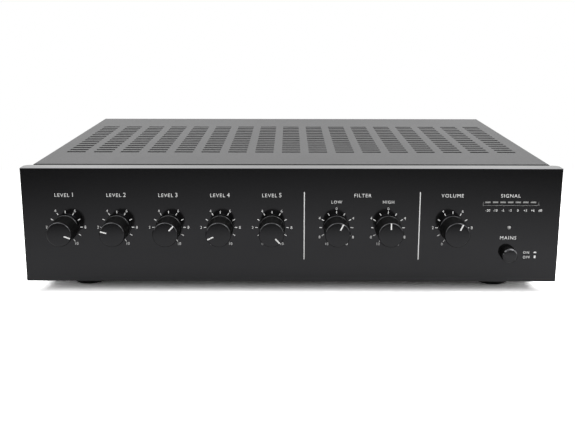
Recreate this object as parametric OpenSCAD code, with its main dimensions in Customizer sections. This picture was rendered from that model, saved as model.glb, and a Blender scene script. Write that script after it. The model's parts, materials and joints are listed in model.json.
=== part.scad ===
// Mixer amplifier: a desk cabinet with a row of dials, a power button and a vented cover.
// Millimetres. +X is right, +Y runs to the rear and +Z is up.
// The origin lies on the floor, under the middle of the whole object.
// Inside the modules, y is measured back from the front panel's face.

/* [Front panel] */
// Height of the front panel
panel_h = 91; // [86:1:110]
// Depth of the front panel, from its face to the back of its rim
panel_depth = 14; // [14:0.5:24]
// Thickness of the front panel's face
face_t = 3; // [2:0.5:5]
// Thickness of the rim around the front panel
rim_t = 2; // [1.5:0.1:2.5]
// Radius of the rim's upright rear corners
rim_corner_r = 5; // [3:0.5:8]
// Chamfer along the edges of the face
face_chamfer = 0.2; // [0.2:0.1:1.5]
// Space between the face and the chassis wall behind it
wall_gap = 8; // [7:0.5:10]
// How far the front panel hangs below the chassis
panel_drop = 4; // [2.5:0.5:6]

/* [Dials] */
// From the panel's left edge to the first dial
dial_inset = 33.4; // [25:0.2:45]
// Distance between the dials of one group
dial_pitch = 40.4; // [32:0.2:50]
// Distance between the dials on either side of a divider
group_pitch = 50.4; // [40:0.2:65]
// Height of the dials above the panel's bottom edge
dial_h = 44; // [36:0.5:50]
// Diameter of a knob at its face
knob_d = 19.6; // [17:0.2:26]
// Length of a knob
knob_l = 23; // [18:0.5:28]
// Gap between a knob and the panel
knob_gap = 1; // [0.5:0.1:2]
// Diameter of the dial shafts
shaft_d = 6; // [5:0.1:6.4]
// Diameter of a potentiometer's body
pot_d = 16.5; // [14:0.5:24]
// Length of a potentiometer's body
pot_l = 9; // [7:0.5:12]

/* [Output and power] */
// From the last dial to the meter's centre line
output_pitch = 44.6; // [42:0.2:60]
// From the meter's centre line to the panel's right edge
output_inset = 39.2; // [36:0.2:50]
// Height of the meter's lights above the panel's bottom edge
meter_h = 64.5; // [56:0.5:70]
// Length of one meter light
bar_w = 4.2; // [3:0.1:5]
// Height of one meter light
bar_h = 1.2; // [1:0.1:3]
// Distance between the meter lights
bar_pitch = 5.9; // [5.4:0.1:6.4]
// Height of the power lamp above the panel's bottom edge
lamp_h = 44.1; // [40:0.1:48]
// Diameter of the power lamp
lamp_d = 3; // [2:0.1:5]
// Height of the power button above the panel's bottom edge
button_h = 23.3; // [18:0.1:26]
// Diameter of the power button
button_d = 11.8; // [9:0.2:14]
// How far the power button stands out of the face
button_reach = 9; // [7:0.5:12]
// Travel of the power button
button_travel = 4; // [2:0.1:5]

/* [Cabinet] */
// From the front panel's face to the cover's rear edge
body_d = 303; // [290:1:380]
// How far the cover's sides lie inside the panel's ends
cover_step = 5; // [4:0.5:12]
// How far the cover's top lies below the panel's top
cover_drop = 0; // [0:0.1:2]
// Gap between the front panel and the cover
cover_gap = 4.8; // [0.5:0.1:6]
// Thickness of the sheet steel
sheet_t = 1.2; // [1:0.1:2]
// Inside radius of the cover's bends
bend_in = 0.6; // [0.4:0.1:4]
// Height of the chassis side and rear lips
lip_h = 15; // [12:0.5:18]
// How far the rear panel lies inside the cover's rear edge
rear_inset = 1; // [0:0.5:4]
// Height of the rubber feet
foot_h = 14; // [10:0.5:20]
// Diameter of a foot at the floor
foot_d = 26; // [18:0.5:30]
// From the chassis side to a foot's centre
foot_side = 36.5; // [20:0.5:50]
// From the front panel's face or the cover's rear edge to a foot's centre
foot_end = 36.5; // [32:0.5:60]

/* [Vents] */
// Length of a cover slot, across the cabinet
slot_l = 15.8; // [10:0.1:18]
// Width of a cover slot
slot_w = 5; // [2:0.1:6]
// Distance between columns of slots
slot_column_pitch = 23; // [20:0.1:30]
// Distance between slots in a column
slot_row_pitch = 11.3; // [8:0.1:16]
// Plain cover in front of the slots
slot_front = 57; // [40:0.5:80]
// Least plain cover behind the slots
slot_rear = 62; // [40:0.5:90]
// Plain cover beside the slots
slot_side = 8; // [6:0.5:20]

/* [Rear sockets] */
// Distance between the input jacks
jack_pitch = 28; // [22:0.5:34]
// Bore of an input jack
jack_bore_d = 6.5; // [6.4:0.05:6.7]
// How far a jack's nose stands out of the rear panel
jack_out = 6; // [5:0.5:8]
// Height of the jacks above the chassis floor
jack_h = 42; // [34:0.5:50]
// Width of the mains inlet's socket
inlet_w = 24.4; // [24:0.1:25]
// Height of the mains inlet's socket
inlet_h = 16.4; // [16:0.1:17]
// Number of speaker terminals
terminals = 5; // [3:1:6]
// Distance between speaker terminals
terminal_pitch = 11; // [10:0.1:12]
// How far the speaker terminals stand out of the rear panel
terminal_out = 12; // [11:0.5:16]

/* [Inside] */
// Width of the power transformer's laminations
power_core_w = 78; // [60:1:84]
// Stack of the power transformer's laminations
power_stack = 40; // [30:1:48]
// Width of the output transformer's laminations
output_core_w = 60; // [48:1:72]
// Stack of the output transformer's laminations
output_stack = 30; // [22:1:36]
// Width of the main circuit board
board_w = 180; // [140:1:190]
// Depth of the main circuit board
board_d = 160; // [120:1:180]
// Height of the main board's standoffs
standoff_h = 8; // [5:0.5:12]
// Length of the heatsink
sink_l = 140; // [100:1:160]
// Height of the heatsink
sink_h = 58; // [40:1:62]
// Depth of the heatsink's fins
fin_d = 24; // [15:1:30]

/* [Hidden] */
$fn = 48;
eps = 0.1;

// Clearances
sheet_fit = 0.3;
hole_fit = 0.15;
thread_fit = 0.02;
shaft_fit = 0.03;
bore_fit = 0.02;

// Dial names from left to right, and the angle of each pointer at rest, clockwise from twelve o'clock
dial_names = ["input_1", "input_2", "input_3", "input_4", "input_5", "bass", "treble", "master"];
dial_angles = [111, -76, 44, -115, 137, 28, 0, 27];
last_dial = len(dial_names) - 1;
first_tone_dial = 5;
master_dial = 7;

// Layout across the front
dividers_before = function(i) (i >= first_tone_dial ? 1 : 0) + (i >= master_dial ? 1 : 0);
dial_run = function(i) i * dial_pitch + dividers_before(i) * (group_pitch - dial_pitch);
panel_w = dial_inset + dial_run(last_dial) + output_pitch + output_inset;
dial_x = function(i) -panel_w / 2 + dial_inset + dial_run(i);
output_x = panel_w / 2 - output_inset;

// Heights above the floor
panel_z = foot_h - panel_drop;
panel_top = panel_z + panel_h;
dial_z = panel_z + dial_h;
meter_z = panel_z + meter_h;
lamp_z = panel_z + lamp_h;
button_z = panel_z + button_h;
floor_top = foot_h + sheet_t;
cover_top = panel_top - cover_drop;
cover_under = cover_top - sheet_t;

// Places along the depth, back from the face
wall_y = face_t + wall_gap;
wall_back = wall_y + sheet_t;
cover_y = panel_depth + cover_gap;
rear_out = body_d - rear_inset;
rear_in = rear_out - sheet_t;

// Widths
cover_w = panel_w - 2 * cover_step;
chassis_w = cover_w - 2 * (sheet_t + sheet_fit);
chassis_side = chassis_w / 2;
wall_w = panel_w - 2 * (rim_t + sheet_fit);
wall_top = min(panel_top - rim_t, cover_under) - sheet_fit;
rear_top = cover_under - sheet_fit;
flange_d = 12;
lip_set = 1;
bend_r = sheet_t + bend_in;
corner_cut = bend_in;

// Knob
knob_r = knob_d / 2;
skirt_flare = 0.4;
skirt_r = knob_r + skirt_flare;
skirt_h = 2.4;
barrel_taper = 0.1;
knob_chamfer = 0.6;
knob_wall = 1.8;
hub_wall = 2;
hub_r = shaft_d / 2 + hub_wall;
hub_set = 1.5;
hollow_l = 0.55 * knob_l;
grip_l = 0.65 * knob_l;
flat_depth = shaft_d / 4;
shaft_step = 0.2;
dial_hole_gap = 1.5;
pointer_w = 1;
pointer_in = 3.7;
pointer_rim = 0.7;
pointer_depth = 0.4;

// Potentiometer
bushing_wall = 0.75;
bushing_r = shaft_d / 2 + bushing_wall;
bushing_l = 5.5;
shaft_in = 0.55 * pot_l;
shaft_end_gap = 0.3;
pot_back = wall_back + pot_l;
pot_lug = [10, 3, 4];
nut_wall = 2.6;
nut_r = bushing_r + nut_wall;
nut_t = 2.2;
board_t = 1.6;
control_h = 46;
control_margin = 14;

// Fasteners
m3 = 3;
m4 = 4;
screw_head = 2;
screw_spare = 3;
screw_end_gap = 0.5;
panel_screw_l = 6;
boss_r = 3.5;
boss_edge = 10;
boss_side = 14;

// Meter and lamp
bars = 7;
meter_gap = 4;
meter_back = face_t + meter_gap + board_t;
meter_side = 3;
meter_board_w = bars * bar_pitch + 2 * meter_side;
meter_margin = 5;
bar_x = function(i) output_x + (i - (bars - 1) / 2) * bar_pitch - bar_w / 2;
post_r = 2.6;
post_x = 16;
post_z = (meter_z + lamp_z) / 2;
post_screw_d = 2;
post_screw_head = 1.2;
lamp_proud = 1;
lamp_flange_t = 1.2;
lamp_flange = 0.5;

// Power switch
button_gap = 0.4;
button_round = 0.8;
button_shoulder = 1.2;
button_tail = face_t + button_shoulder;
plunger_w = 3.4;
plunger_fit = 0.06;
socket_l = 7;
switch_size = [15, 24, 13];
switch_flange = [32, 2, 13];
plunger_in = 9;
plunger_spare = 1;
switch_ear = 4;
switch_screw_x = switch_flange[0] / 2 - switch_ear;

// Feet
foot_flare = 4;
foot_bore_r = 5;
foot_bore_h = 0.5 * foot_h;
foot_xs = [-chassis_side + foot_side, chassis_side - foot_side];
foot_ys = [foot_end, body_d - foot_end];

// Cover screws and rear screws
side_screw_inset = 20;
cover_screw_ys = [cover_y + side_screw_inset, (cover_y + rear_in) / 2, rear_in - side_screw_inset];
cover_screw_z = floor_top + lip_h / 2;
rear_screws = 4;
rear_screw_run = 2 * (chassis_side - side_screw_inset);
rear_screw_xs = [for (i = [0 : rear_screws - 1]) (i / (rear_screws - 1) - 0.5) * rear_screw_run];
rear_screw_z = floor_top + lip_h / 2;

// Slots in the cover
slot_columns = floor((cover_w - 2 * slot_side - slot_l) / slot_column_pitch) + 1;
slot_rows = floor((body_d - cover_y - slot_front - slot_rear - slot_w) / slot_row_pitch) + 1;

// Input jacks, counted from the left
jacks = 5;
jack_side = 29;
jack_body = [16, 24, 18];
jack_nose_r = 4.7;
jack_relief = 0.5;
jack_wide_r = jack_bore_d / 2 + jack_relief;
jack_end_t = 2;
jack_z = floor_top + jack_h;
jack_nut_r = 7;
jack_nut_t = 2.4;
jack_x = function(i) -chassis_side + jack_side + i * jack_pitch;

// Mains inlet
inlet_side = 46;
inlet_lift = 34;
inlet_x = chassis_side - inlet_side;
inlet_z = floor_top + inlet_lift;
inlet_wall = 1.5;
inlet_d = 17;
inlet_floor = 2;
inlet_flange = [50, 3, 24];
inlet_screw_x = 20;
pin_size = [2, 4];
pin_l = 12;
pin_tail = 8;
pin_places = [[-7, -2], [7, -2], [0, 2]];

// Speaker terminals
terminal_x = 60;
terminal_lift = 30;
terminal_z = floor_top + terminal_lift;
terminal_h = 20;
terminal_base = 8;
barrier_t = 1.6;
terminal_w = terminals * terminal_pitch + barrier_t;
terminal_ear = 9;
terminal_ear_t = 3;
terminal_screw_l = 5;
terminal_screw_d = 3.5;
terminal_place = function(i) terminal_x + (i - (terminals - 1) / 2) * terminal_pitch;

// Fuse holder and earth screw
fuse_gap = 16;
fuse_lift = 40;
fuse_x = terminal_x + terminal_w / 2 + terminal_ear + fuse_gap;
fuse_z = floor_top + fuse_lift;
fuse_r = 6.2;
fuse_in = 26;
fuse_flange_r = 8.5;
fuse_flange_t = 2;
fuse_cap_r = 6.8;
fuse_cap_l = 8;
earth_drop = 22;
earth_z = fuse_z - earth_drop;
earth_head = 2.6;

// The part's whole depth sets where its face lies
knob_reach = knob_gap + knob_l;
rear_reach = max(terminal_out, jack_out, fuse_flange_t + fuse_cap_l, inlet_flange[1]);
front_y = knob_reach - (knob_reach + rear_out + rear_reach) / 2;

// Transformers: scrapless laminations, with legs and windows in sixths of the width
coil_share = 0.17;
coil_bulge = function(w) coil_share * w;
coil_fit = 0.3;
frame_t = 1.6;
frame_foot = 12;
transformer_side = 12;
transformer_gap = 12;
transformer_front = 52;
power_half = power_stack / 2 + coil_bulge(power_core_w);
output_half = output_stack / 2 + coil_bulge(output_core_w);
power_x = chassis_side - sheet_t - transformer_side - power_half;
output_core_x = power_x - power_half - transformer_gap - output_half;
core_y = transformer_front + power_core_w / 2 + frame_foot;
core_back = core_y + power_core_w / 2 + frame_foot;

// Main board
board_side = 10;
board_x = -chassis_side + sheet_t + board_side;
board_y = 62;
board_z = floor_top + standoff_h;
board_edge = 6;
standoff_d = 7;
board_screw_l = 5;
capacitor_d = 25;
capacitor_h = 42;
capacitors = 3;
capacitor_gap = 6;
capacitor_edge = 12;
capacitor_front = 34;
capacitor_pitch = capacitor_d + capacitor_gap;
capacitor_x = board_x + board_w - capacitor_d / 2 - capacitor_edge;
capacitor_y = board_y + capacitor_front;
capacitor_groove = 0.8;
capacitor_rim = 5;
ribbon_w = 30;
ribbon_t = 1;
ribbon_x = board_x + board_w / 2;
ribbon_lift = 18;
ribbon_inset = 10;
ribbon_z = board_z + board_t + ribbon_lift;
ribbon_y = board_y + ribbon_inset;

// Heatsink, with the transistors on its front face
sink_t = 5;
sink_x = output_core_x;
sink_gap = 30;
sink_y = core_back + sink_gap;
fin_t = 2;
fins = 15;
transistors = 4;
transistor_size = [15.6, 5, 20];
transistor_pitch = sink_l / (transistors + 1);
transistor_drop = 30;
transistor_z = floor_top + sink_h - transistor_drop;
tab_hole_d = 3.4;
tab_hole_z = 15;
sink_screw_edge = 12;
sink_screw_xs = [-sink_l / 2 + sink_screw_edge, sink_l / 2 - sink_screw_edge];

// Floor and rear vents
floor_slot = [4, 22];
floor_slot_pitch = 9;
floor_slots = 9;
floor_slot_gap = 4;
floor_slot_y = core_back + floor_slot_gap;
floor_slot_xs = [-60, 20];
rear_slot = [3, 22];
rear_slot_pitch = 7.5;
rear_slots = 18;
rear_slot_x = 62;
rear_slot_drop = 10;
rear_slot_z = rear_top - rear_slot_drop - rear_slot[1];

// Moves a module from the face's frame to the part's own frame
module in_place() {
    translate([0, front_y, 0]) children();
}

// Lays a shape that points up so that it points to the rear
module to_rear(x, y, z) {
    translate([x, y, z]) rotate([-90, 0, 0]) children();
}

// Lays a shape that points up so that it points to the front
module to_front(x, y, z) {
    translate([x, y, z]) rotate([90, 0, 0]) children();
}

// Extrudes an outline drawn in Y and Z across the cabinet, centred on x
module across(width) {
    rotate([90, 0, 90]) translate([0, 0, -width / 2]) linear_extrude(width) children();
}

// A cross-head screw: its head lies below z = 0 and its shank points up
module screw(d, l, head = screw_head) {
    head_r = d;
    bevel = 0.3 * head;
    recess = 0.6 * head;
    cross = [1.2 * head_r, 0.22 * head_r, recess + eps];
    difference() {
        rotate_extrude() polygon([
            [0, -head], [head_r - bevel, -head], [head_r, -head + bevel], [head_r, 0],
            [d / 2, 0], [d / 2, l], [0, l]
        ]);
        for (turn = [0, 90]) rotate(turn)
            translate([-cross[0] / 2, -cross[1] / 2, -head - eps]) cube(cross);
    }
}

// A six-sided nut with a round hole, standing on z = 0
module nut(r, t, hole_r) {
    difference() {
        cylinder(r = r, h = t, $fn = 6);
        translate([0, 0, -eps]) cylinder(r = hole_r, h = t + 2 * eps);
    }
}

// A row of parallel slots through a sheet: count slots of size [across, along], centred on x = 0
module slot_row(count, pitch, size) {
    for (i = [0 : count - 1])
        translate([(i - (count - 1) / 2) * pitch - size[0] / 2, 0]) square(size);
}

// Where the screws hold the front panel to the chassis
module at_bosses() {
    middle = (dial_x(first_tone_dial - 1) + dial_x(first_tone_dial)) / 2;
    for (x = [-chassis_side + boss_side, middle, chassis_side - boss_side])
        for (z = [panel_z + boss_edge, panel_top - boss_edge])
            translate([x, 0, z]) children();
}

module at_meter_posts() {
    for (side = [-1, 1]) translate([output_x + side * post_x, 0, post_z]) children();
}

module at_feet() {
    for (x = foot_xs, y = foot_ys) translate([x, y, 0]) children();
}

module at_standoffs() {
    for (x = [board_x + board_edge, board_x + board_w - board_edge])
        for (y = [board_y + board_edge, board_y + board_d - board_edge])
            translate([x, y, 0]) children();
}

module at_transformer_feet(x, core_w, stack) {
    for (side = [-1, 1], k = [-1, 1])
        translate([x + k * stack / 4, core_y + side * (core_w / 2 + frame_t + frame_foot / 2), 0])
            children();
}

// The front panel's outline seen from above
module panel_plan() {
    half = panel_w / 2;
    straight = panel_depth - rim_corner_r;
    polygon([
        [-half + face_chamfer, 0], [half - face_chamfer, 0], [half, face_chamfer],
        [half, straight], [-half, straight], [-half, face_chamfer]
    ]);
    translate([-half + rim_corner_r, 0.5 * straight])
        square([panel_w - 2 * rim_corner_r, panel_depth - 0.5 * straight]);
    for (side = [-1, 1]) translate([side * (half - rim_corner_r), straight]) circle(rim_corner_r);
}

// The front panel's outline seen from the side
module panel_side() {
    polygon([
        [face_chamfer, panel_z], [panel_depth, panel_z], [panel_depth, panel_top],
        [face_chamfer, panel_top], [0, panel_top - face_chamfer], [0, panel_z + face_chamfer]
    ]);
}

// A shallow tray with its open side to the rear, and bosses for its screws
module front_panel() {
    color("#303032") difference() {
        union() {
            difference() {
                intersection() {
                    translate([0, 0, panel_z]) linear_extrude(panel_h) panel_plan();
                    across(panel_w) panel_side();
                }
                translate([-panel_w / 2 + rim_t, face_t, panel_z + rim_t])
                    cube([panel_w - 2 * rim_t, panel_depth, panel_h - 2 * rim_t]);
            }
            at_bosses() to_rear(0, face_t - eps, 0) cylinder(r = boss_r, h = wall_gap + eps);
            at_meter_posts() to_rear(0, face_t - eps, 0) cylinder(r = post_r, h = meter_gap + eps);
        }
        for (i = [0 : last_dial])
            to_rear(dial_x(i), -eps, dial_z) cylinder(r = shaft_d / 2 + dial_hole_gap, h = face_t + 2 * eps);
        to_rear(output_x, -eps, button_z) cylinder(d = button_d + 2 * button_gap, h = face_t + 2 * eps);
        to_rear(output_x, -eps, lamp_z) cylinder(d = lamp_d + 2 * hole_fit, h = face_t + 2 * eps);
        for (i = [0 : bars - 1])
            translate([bar_x(i) - hole_fit, -eps, meter_z - bar_h / 2 - hole_fit])
                cube([bar_w + 2 * hole_fit, face_t + 2 * eps, bar_h + 2 * hole_fit]);
        at_bosses() to_front(0, wall_y + eps, 0)
            cylinder(d = m3 + 2 * thread_fit, h = panel_screw_l + eps);
        at_meter_posts() to_front(0, face_t + meter_gap + eps, 0)
            cylinder(d = post_screw_d + 2 * thread_fit, h = meter_gap + eps);
    }
}

module front_panel_screws() {
    color("silver") at_bosses() to_front(0, wall_back, 0) screw(m3, panel_screw_l + sheet_t - screw_end_gap);
}

// One bent sheet: the floor, the wall that carries the dials, the side lips and the rear lip
module chassis_tray() {
    lip_y = cover_y + lip_set;
    color("#8c8f92") difference() {
        union() {
            translate([-chassis_side, wall_y, foot_h]) cube([chassis_w, rear_in - wall_y, sheet_t]);
            translate([-wall_w / 2, wall_y, foot_h]) cube([wall_w, sheet_t, wall_top - foot_h]);
            translate([-chassis_side, wall_y, wall_top - sheet_t]) cube([chassis_w, flange_d, sheet_t]);
            for (x = [-chassis_side, chassis_side - sheet_t])
                translate([x, lip_y, foot_h]) cube([sheet_t, rear_in - lip_y, sheet_t + lip_h]);
            translate([-chassis_side, rear_in - sheet_t, foot_h])
                cube([chassis_w, sheet_t, sheet_t + lip_h]);
        }
        for (i = [0 : last_dial])
            to_rear(dial_x(i), wall_y - eps, dial_z)
                cylinder(r = bushing_r + hole_fit, h = sheet_t + 2 * eps);
        to_rear(output_x, wall_y - eps, button_z) cylinder(r = plunger_w, h = sheet_t + 2 * eps);
        for (side = [-1, 1])
            to_rear(output_x + side * switch_screw_x, wall_y - eps, button_z)
                cylinder(d = m3 + 2 * thread_fit, h = sheet_t + 2 * eps);
        at_bosses() to_rear(0, wall_y - eps, 0) cylinder(d = m3 + 2 * hole_fit, h = sheet_t + 2 * eps);
        at_feet() floor_hole(m4);
        at_standoffs() floor_hole(m3);
        at_transformer_feet(power_x, power_core_w, power_stack) floor_hole(m4);
        at_transformer_feet(output_core_x, output_core_w, output_stack) floor_hole(m4);
        at_sink_screws() floor_hole(m4);
        for (side = [-1, 1], y = cover_screw_ys)
            translate([side * (chassis_side - sheet_t / 2), y, cover_screw_z]) rotate([0, 90, 0])
                cylinder(d = m3 + 2 * thread_fit, h = 2 * sheet_t, center = true);
        for (x = rear_screw_xs)
            to_rear(x, rear_in - sheet_t - eps, rear_screw_z)
                cylinder(d = m3 + 2 * thread_fit, h = sheet_t + 2 * eps);
        for (x = floor_slot_xs)
            translate([x, floor_slot_y, foot_h - eps]) linear_extrude(sheet_t + 2 * eps)
                slot_row(floor_slots, floor_slot_pitch, floor_slot);
    }
}

// A hole through the chassis floor for a screw of diameter d
module floor_hole(d) {
    translate([0, 0, foot_h - eps]) cylinder(d = d + 2 * thread_fit, h = sheet_t + 2 * eps);
}

// The upright sheet at the rear, with a flange under the cover
module rear_panel() {
    color("#2a2a2c") difference() {
        union() {
            to_front(0, rear_out, 0) linear_extrude(sheet_t) rear_outline();
            translate([-chassis_side + corner_cut, rear_out - flange_d, rear_top - sheet_t])
                cube([chassis_w - 2 * corner_cut, flange_d, sheet_t]);
        }
        for (i = [0 : jacks - 1]) rear_hole(jack_x(i), jack_z, jack_nose_r + hole_fit);
        rear_hole(fuse_x, fuse_z, fuse_r + hole_fit);
        rear_hole(fuse_x, earth_z, m4 / 2 + thread_fit);
        for (x = rear_screw_xs) rear_hole(x, rear_screw_z, m3 / 2 + hole_fit);
        for (side = [-1, 1]) rear_hole(inlet_x + side * inlet_screw_x, inlet_z, m3 / 2 + thread_fit);
        for (side = [-1, 1])
            rear_hole(terminal_x + side * (terminal_w + terminal_ear) / 2, terminal_z, m3 / 2 + thread_fit);
        inlet_hole = [inlet_w + 2 * (inlet_wall + hole_fit), inlet_h + 2 * (inlet_wall + hole_fit)];
        translate([inlet_x - inlet_hole[0] / 2, rear_in - eps, inlet_z - inlet_hole[1] / 2])
            cube([inlet_hole[0], sheet_t + 2 * eps, inlet_hole[1]]);
        to_front(rear_slot_x, rear_out + eps, rear_slot_z) linear_extrude(sheet_t + 2 * eps)
            slot_row(rear_slots, rear_slot_pitch, rear_slot);
    }
}

// The rear panel's outline, with its upper corners cut to clear the cover's bends
module rear_outline() {
    inner = chassis_side - corner_cut;
    polygon([
        [-chassis_side, foot_h], [chassis_side, foot_h], [chassis_side, rear_top - corner_cut],
        [inner, rear_top], [-inner, rear_top], [-chassis_side, rear_top - corner_cut]
    ]);
}

// A round hole through the rear panel
module rear_hole(x, z, r) {
    to_rear(x, rear_in - eps, z) cylinder(r = r, h = sheet_t + 2 * eps);
}

// The screws of the rear panel itself and of the mains inlet
module rear_panel_screws() {
    color("#1c1c1e") for (x = rear_screw_xs)
        to_front(x, rear_out, rear_screw_z) screw(m3, 2 * sheet_t + screw_spare);
    color("#1c1c1e") for (side = [-1, 1])
        to_front(inlet_x + side * inlet_screw_x, rear_out + inlet_flange[1], inlet_z)
            screw(m3, inlet_flange[1] + sheet_t + screw_spare);
}

// The cover's outline seen from the front, rounded at its upper corners
module cover_section(width, top, r) {
    translate([-width / 2, foot_h]) square([width, top - foot_h - r]);
    translate([-width / 2 + r, foot_h]) square([width - 2 * r, top - foot_h]);
    for (side = [-1, 1]) translate([side * (width / 2 - r), top - r]) circle(r);
}

// One bent sheet over the top and both sides, with columns of slots in its top
module top_cover() {
    color("#8a8a8c") difference() {
        to_front(0, body_d, 0) linear_extrude(body_d - cover_y) difference() {
            cover_section(cover_w, cover_top, bend_r);
            translate([0, -eps]) cover_section(cover_w - 2 * sheet_t, cover_under + eps, bend_in);
        }
        translate([0, 0, cover_under - eps]) linear_extrude(sheet_t + 2 * eps) cover_slots();
        for (side = [-1, 1], y = cover_screw_ys)
            translate([side * (cover_w - sheet_t) / 2, y, cover_screw_z]) rotate([0, 90, 0])
                cylinder(d = m3 + 2 * hole_fit, h = 2 * sheet_t, center = true);
    }
}

module cover_slots() {
    for (i = [0 : slot_columns - 1], j = [0 : slot_rows - 1])
        translate([
            (i - (slot_columns - 1) / 2) * slot_column_pitch - slot_l / 2,
            cover_y + slot_front + j * slot_row_pitch
        ]) square([slot_l, slot_w]);
}

module cover_screws() {
    color("#1c1c1e") for (side = [-1, 1], y = cover_screw_ys)
        translate([side * cover_w / 2, y, cover_screw_z]) rotate([0, -90 * side, 0])
            screw(m3, 2 * sheet_t + screw_spare);
}

// Round feet that flare towards the chassis, each with a recess for its screw
module rubber_feet() {
    low_r = foot_d / 2;
    high_r = (foot_d + foot_flare) / 2;
    edge = 1;
    color("#19191a") at_feet() rotate_extrude() polygon([
        [foot_bore_r, 0], [low_r - edge, 0], [low_r, edge], [high_r, foot_h], [m4 / 2 + hole_fit, foot_h],
        [m4 / 2 + hole_fit, foot_bore_h], [foot_bore_r, foot_bore_h]
    ]);
}

module foot_screws() {
    color("silver") at_feet() translate([0, 0, foot_bore_h])
        screw(m4, foot_h - foot_bore_h + sheet_t + screw_spare);
}

// A dial knob: a skirted barrel, hollow behind, whose hub grips a flatted shaft
module knob(i) {
    color("#1d1d1e") to_front(dial_x(i), -knob_gap, dial_z) rotate(-dial_angles[i]) difference() {
        rotate_extrude() polygon([
            [0, hub_set], [hub_r, hub_set], [hub_r, hollow_l], [knob_r - knob_wall, hollow_l],
            [knob_r - knob_wall, 0], [skirt_r, 0], [skirt_r, skirt_h],
            [knob_r + barrel_taper, skirt_h + skirt_flare], [knob_r, knob_l - knob_chamfer],
            [knob_r - knob_chamfer, knob_l], [0, knob_l]
        ]);
        flatted_bar(-eps, grip_l, bore_fit);
        translate([-pointer_w / 2, pointer_in, knob_l - pointer_depth])
            cube([pointer_w, knob_r - pointer_rim - pointer_in, pointer_depth + eps]);
    }
}

// A round bar with one flat side away from the pointer, with spare room all round
module flatted_bar(low, high, spare) {
    r = shaft_d / 2 + spare;
    flat = shaft_d / 2 - flat_depth + spare;
    translate([0, 0, low]) linear_extrude(high - low) intersection() {
        circle(r);
        translate([-r, -flat]) square([2 * r, r + flat]);
    }
}

// A dial shaft: round in the potentiometer's bushing and flatted in the knob
module shaft(i) {
    round_end = hub_set - shaft_step;
    round_l = knob_gap + wall_back + shaft_in - shaft_end_gap + round_end;
    color("#b9bbbd") to_front(dial_x(i), -knob_gap, dial_z) rotate(-dial_angles[i]) {
        flatted_bar(round_end - shaft_step, grip_l - shaft_step, 0);
        translate([0, 0, round_end - round_l]) cylinder(d = shaft_d, h = round_l);
    }
}

// One potentiometer behind the chassis wall, with its bushing through it
module potentiometers() {
    color("#6f7377") for (i = [0 : last_dial]) to_rear(dial_x(i), wall_back, dial_z) difference() {
        union() {
            cylinder(d = pot_d, h = pot_l);
            translate([0, 0, -bushing_l]) cylinder(r = bushing_r, h = bushing_l + eps);
            translate([-pot_lug[0] / 2, pot_d / 2 - pot_lug[2] / 2, pot_l - pot_lug[1]])
                cube([pot_lug[0], pot_lug[2], pot_lug[1]]);
        }
        translate([0, 0, -bushing_l - eps])
            cylinder(r = shaft_d / 2 + shaft_fit, h = bushing_l + shaft_in + eps);
    }
}

module potentiometer_nuts() {
    color("silver") for (i = [0 : last_dial])
        to_front(dial_x(i), wall_y, dial_z) nut(nut_r, nut_t, bushing_r + thread_fit);
}

// The upright board that the potentiometers are soldered to
module control_board() {
    left = dial_x(0) - control_margin;
    color("#2f5d3a") translate([left, pot_back, dial_z - control_h / 2])
        cube([dial_x(last_dial) + control_margin - left, board_t, control_h]);
}

// The small board behind the meter and the power lamp
module meter_board() {
    low = lamp_z - meter_margin;
    color("#2f5d3a") difference() {
        translate([output_x - meter_board_w / 2, face_t + meter_gap, low])
            cube([meter_board_w, board_t, meter_z + meter_margin - low]);
        at_meter_posts() to_rear(0, face_t, 0)
            cylinder(d = post_screw_d + 2 * hole_fit, h = meter_gap + 2 * board_t);
    }
}

module meter_board_screws() {
    color("silver") at_meter_posts() to_front(0, meter_back, 0)
        screw(post_screw_d, board_t + screw_spare, post_screw_head);
}

// The meter's lights: flat bars from the board to the face
module meter_lights() {
    color("#c9cac6") for (i = [0 : bars - 1])
        translate([bar_x(i), 0, meter_z - bar_h / 2]) cube([bar_w, face_t + meter_gap, bar_h]);
}

// The power lamp: a domed lens with a flange on the board
module power_lamp() {
    r = lamp_d / 2;
    l = face_t + meter_gap;
    color("#c4c6c2") to_front(output_x, l, lamp_z) rotate_extrude() union() {
        square([r, l + lamp_proud - r]);
        square([r + lamp_flange, lamp_flange_t]);
        intersection() {
            translate([0, l + lamp_proud - r]) circle(r);
            square([r, l + lamp_proud]);
        }
    }
}

// The button's cap: a round bar with a softened edge and a square socket behind
module power_button() {
    r = button_d / 2;
    l = button_tail + button_reach;
    color("#1f1f20") to_front(output_x, button_tail, button_z) difference() {
        rotate_extrude() union() {
            square([r, l - button_round]);
            square([r - button_round, l]);
            translate([r - button_round, l - button_round]) circle(button_round);
        }
        translate([-plunger_w / 2 - bore_fit, -plunger_w / 2 - bore_fit, -eps])
            cube([plunger_w + 2 * bore_fit, plunger_w + 2 * bore_fit, socket_l + eps]);
    }
}

// The square bar between the button and the switch
module switch_plunger() {
    front = button_tail - socket_l;
    color("#d8d8d4") translate([output_x - plunger_w / 2, front, button_z - plunger_w / 2])
        cube([plunger_w, wall_back + plunger_in - front, plunger_w]);
}

// The mains switch behind the chassis wall, with a channel for its plunger
module power_switch() {
    channel = plunger_w + 2 * plunger_fit;
    channel_l = plunger_in + button_travel + plunger_spare;
    color("#26262a") difference() {
        union() {
            centred_box(output_x, wall_back, button_z, switch_flange);
            centred_box(output_x, wall_back, button_z, switch_size);
        }
        centred_box(output_x, wall_back - eps, button_z, [channel, channel_l + eps, channel]);
        for (side = [-1, 1])
            to_rear(output_x + side * switch_screw_x, wall_back - eps, button_z)
                cylinder(d = m3 + 2 * hole_fit, h = switch_flange[1] + 2 * eps);
    }
}

// A box of the given size, centred on x and z, that starts at y
module centred_box(x, y, z, size) {
    translate([x - size[0] / 2, y, z - size[2] / 2]) cube(size);
}

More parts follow.
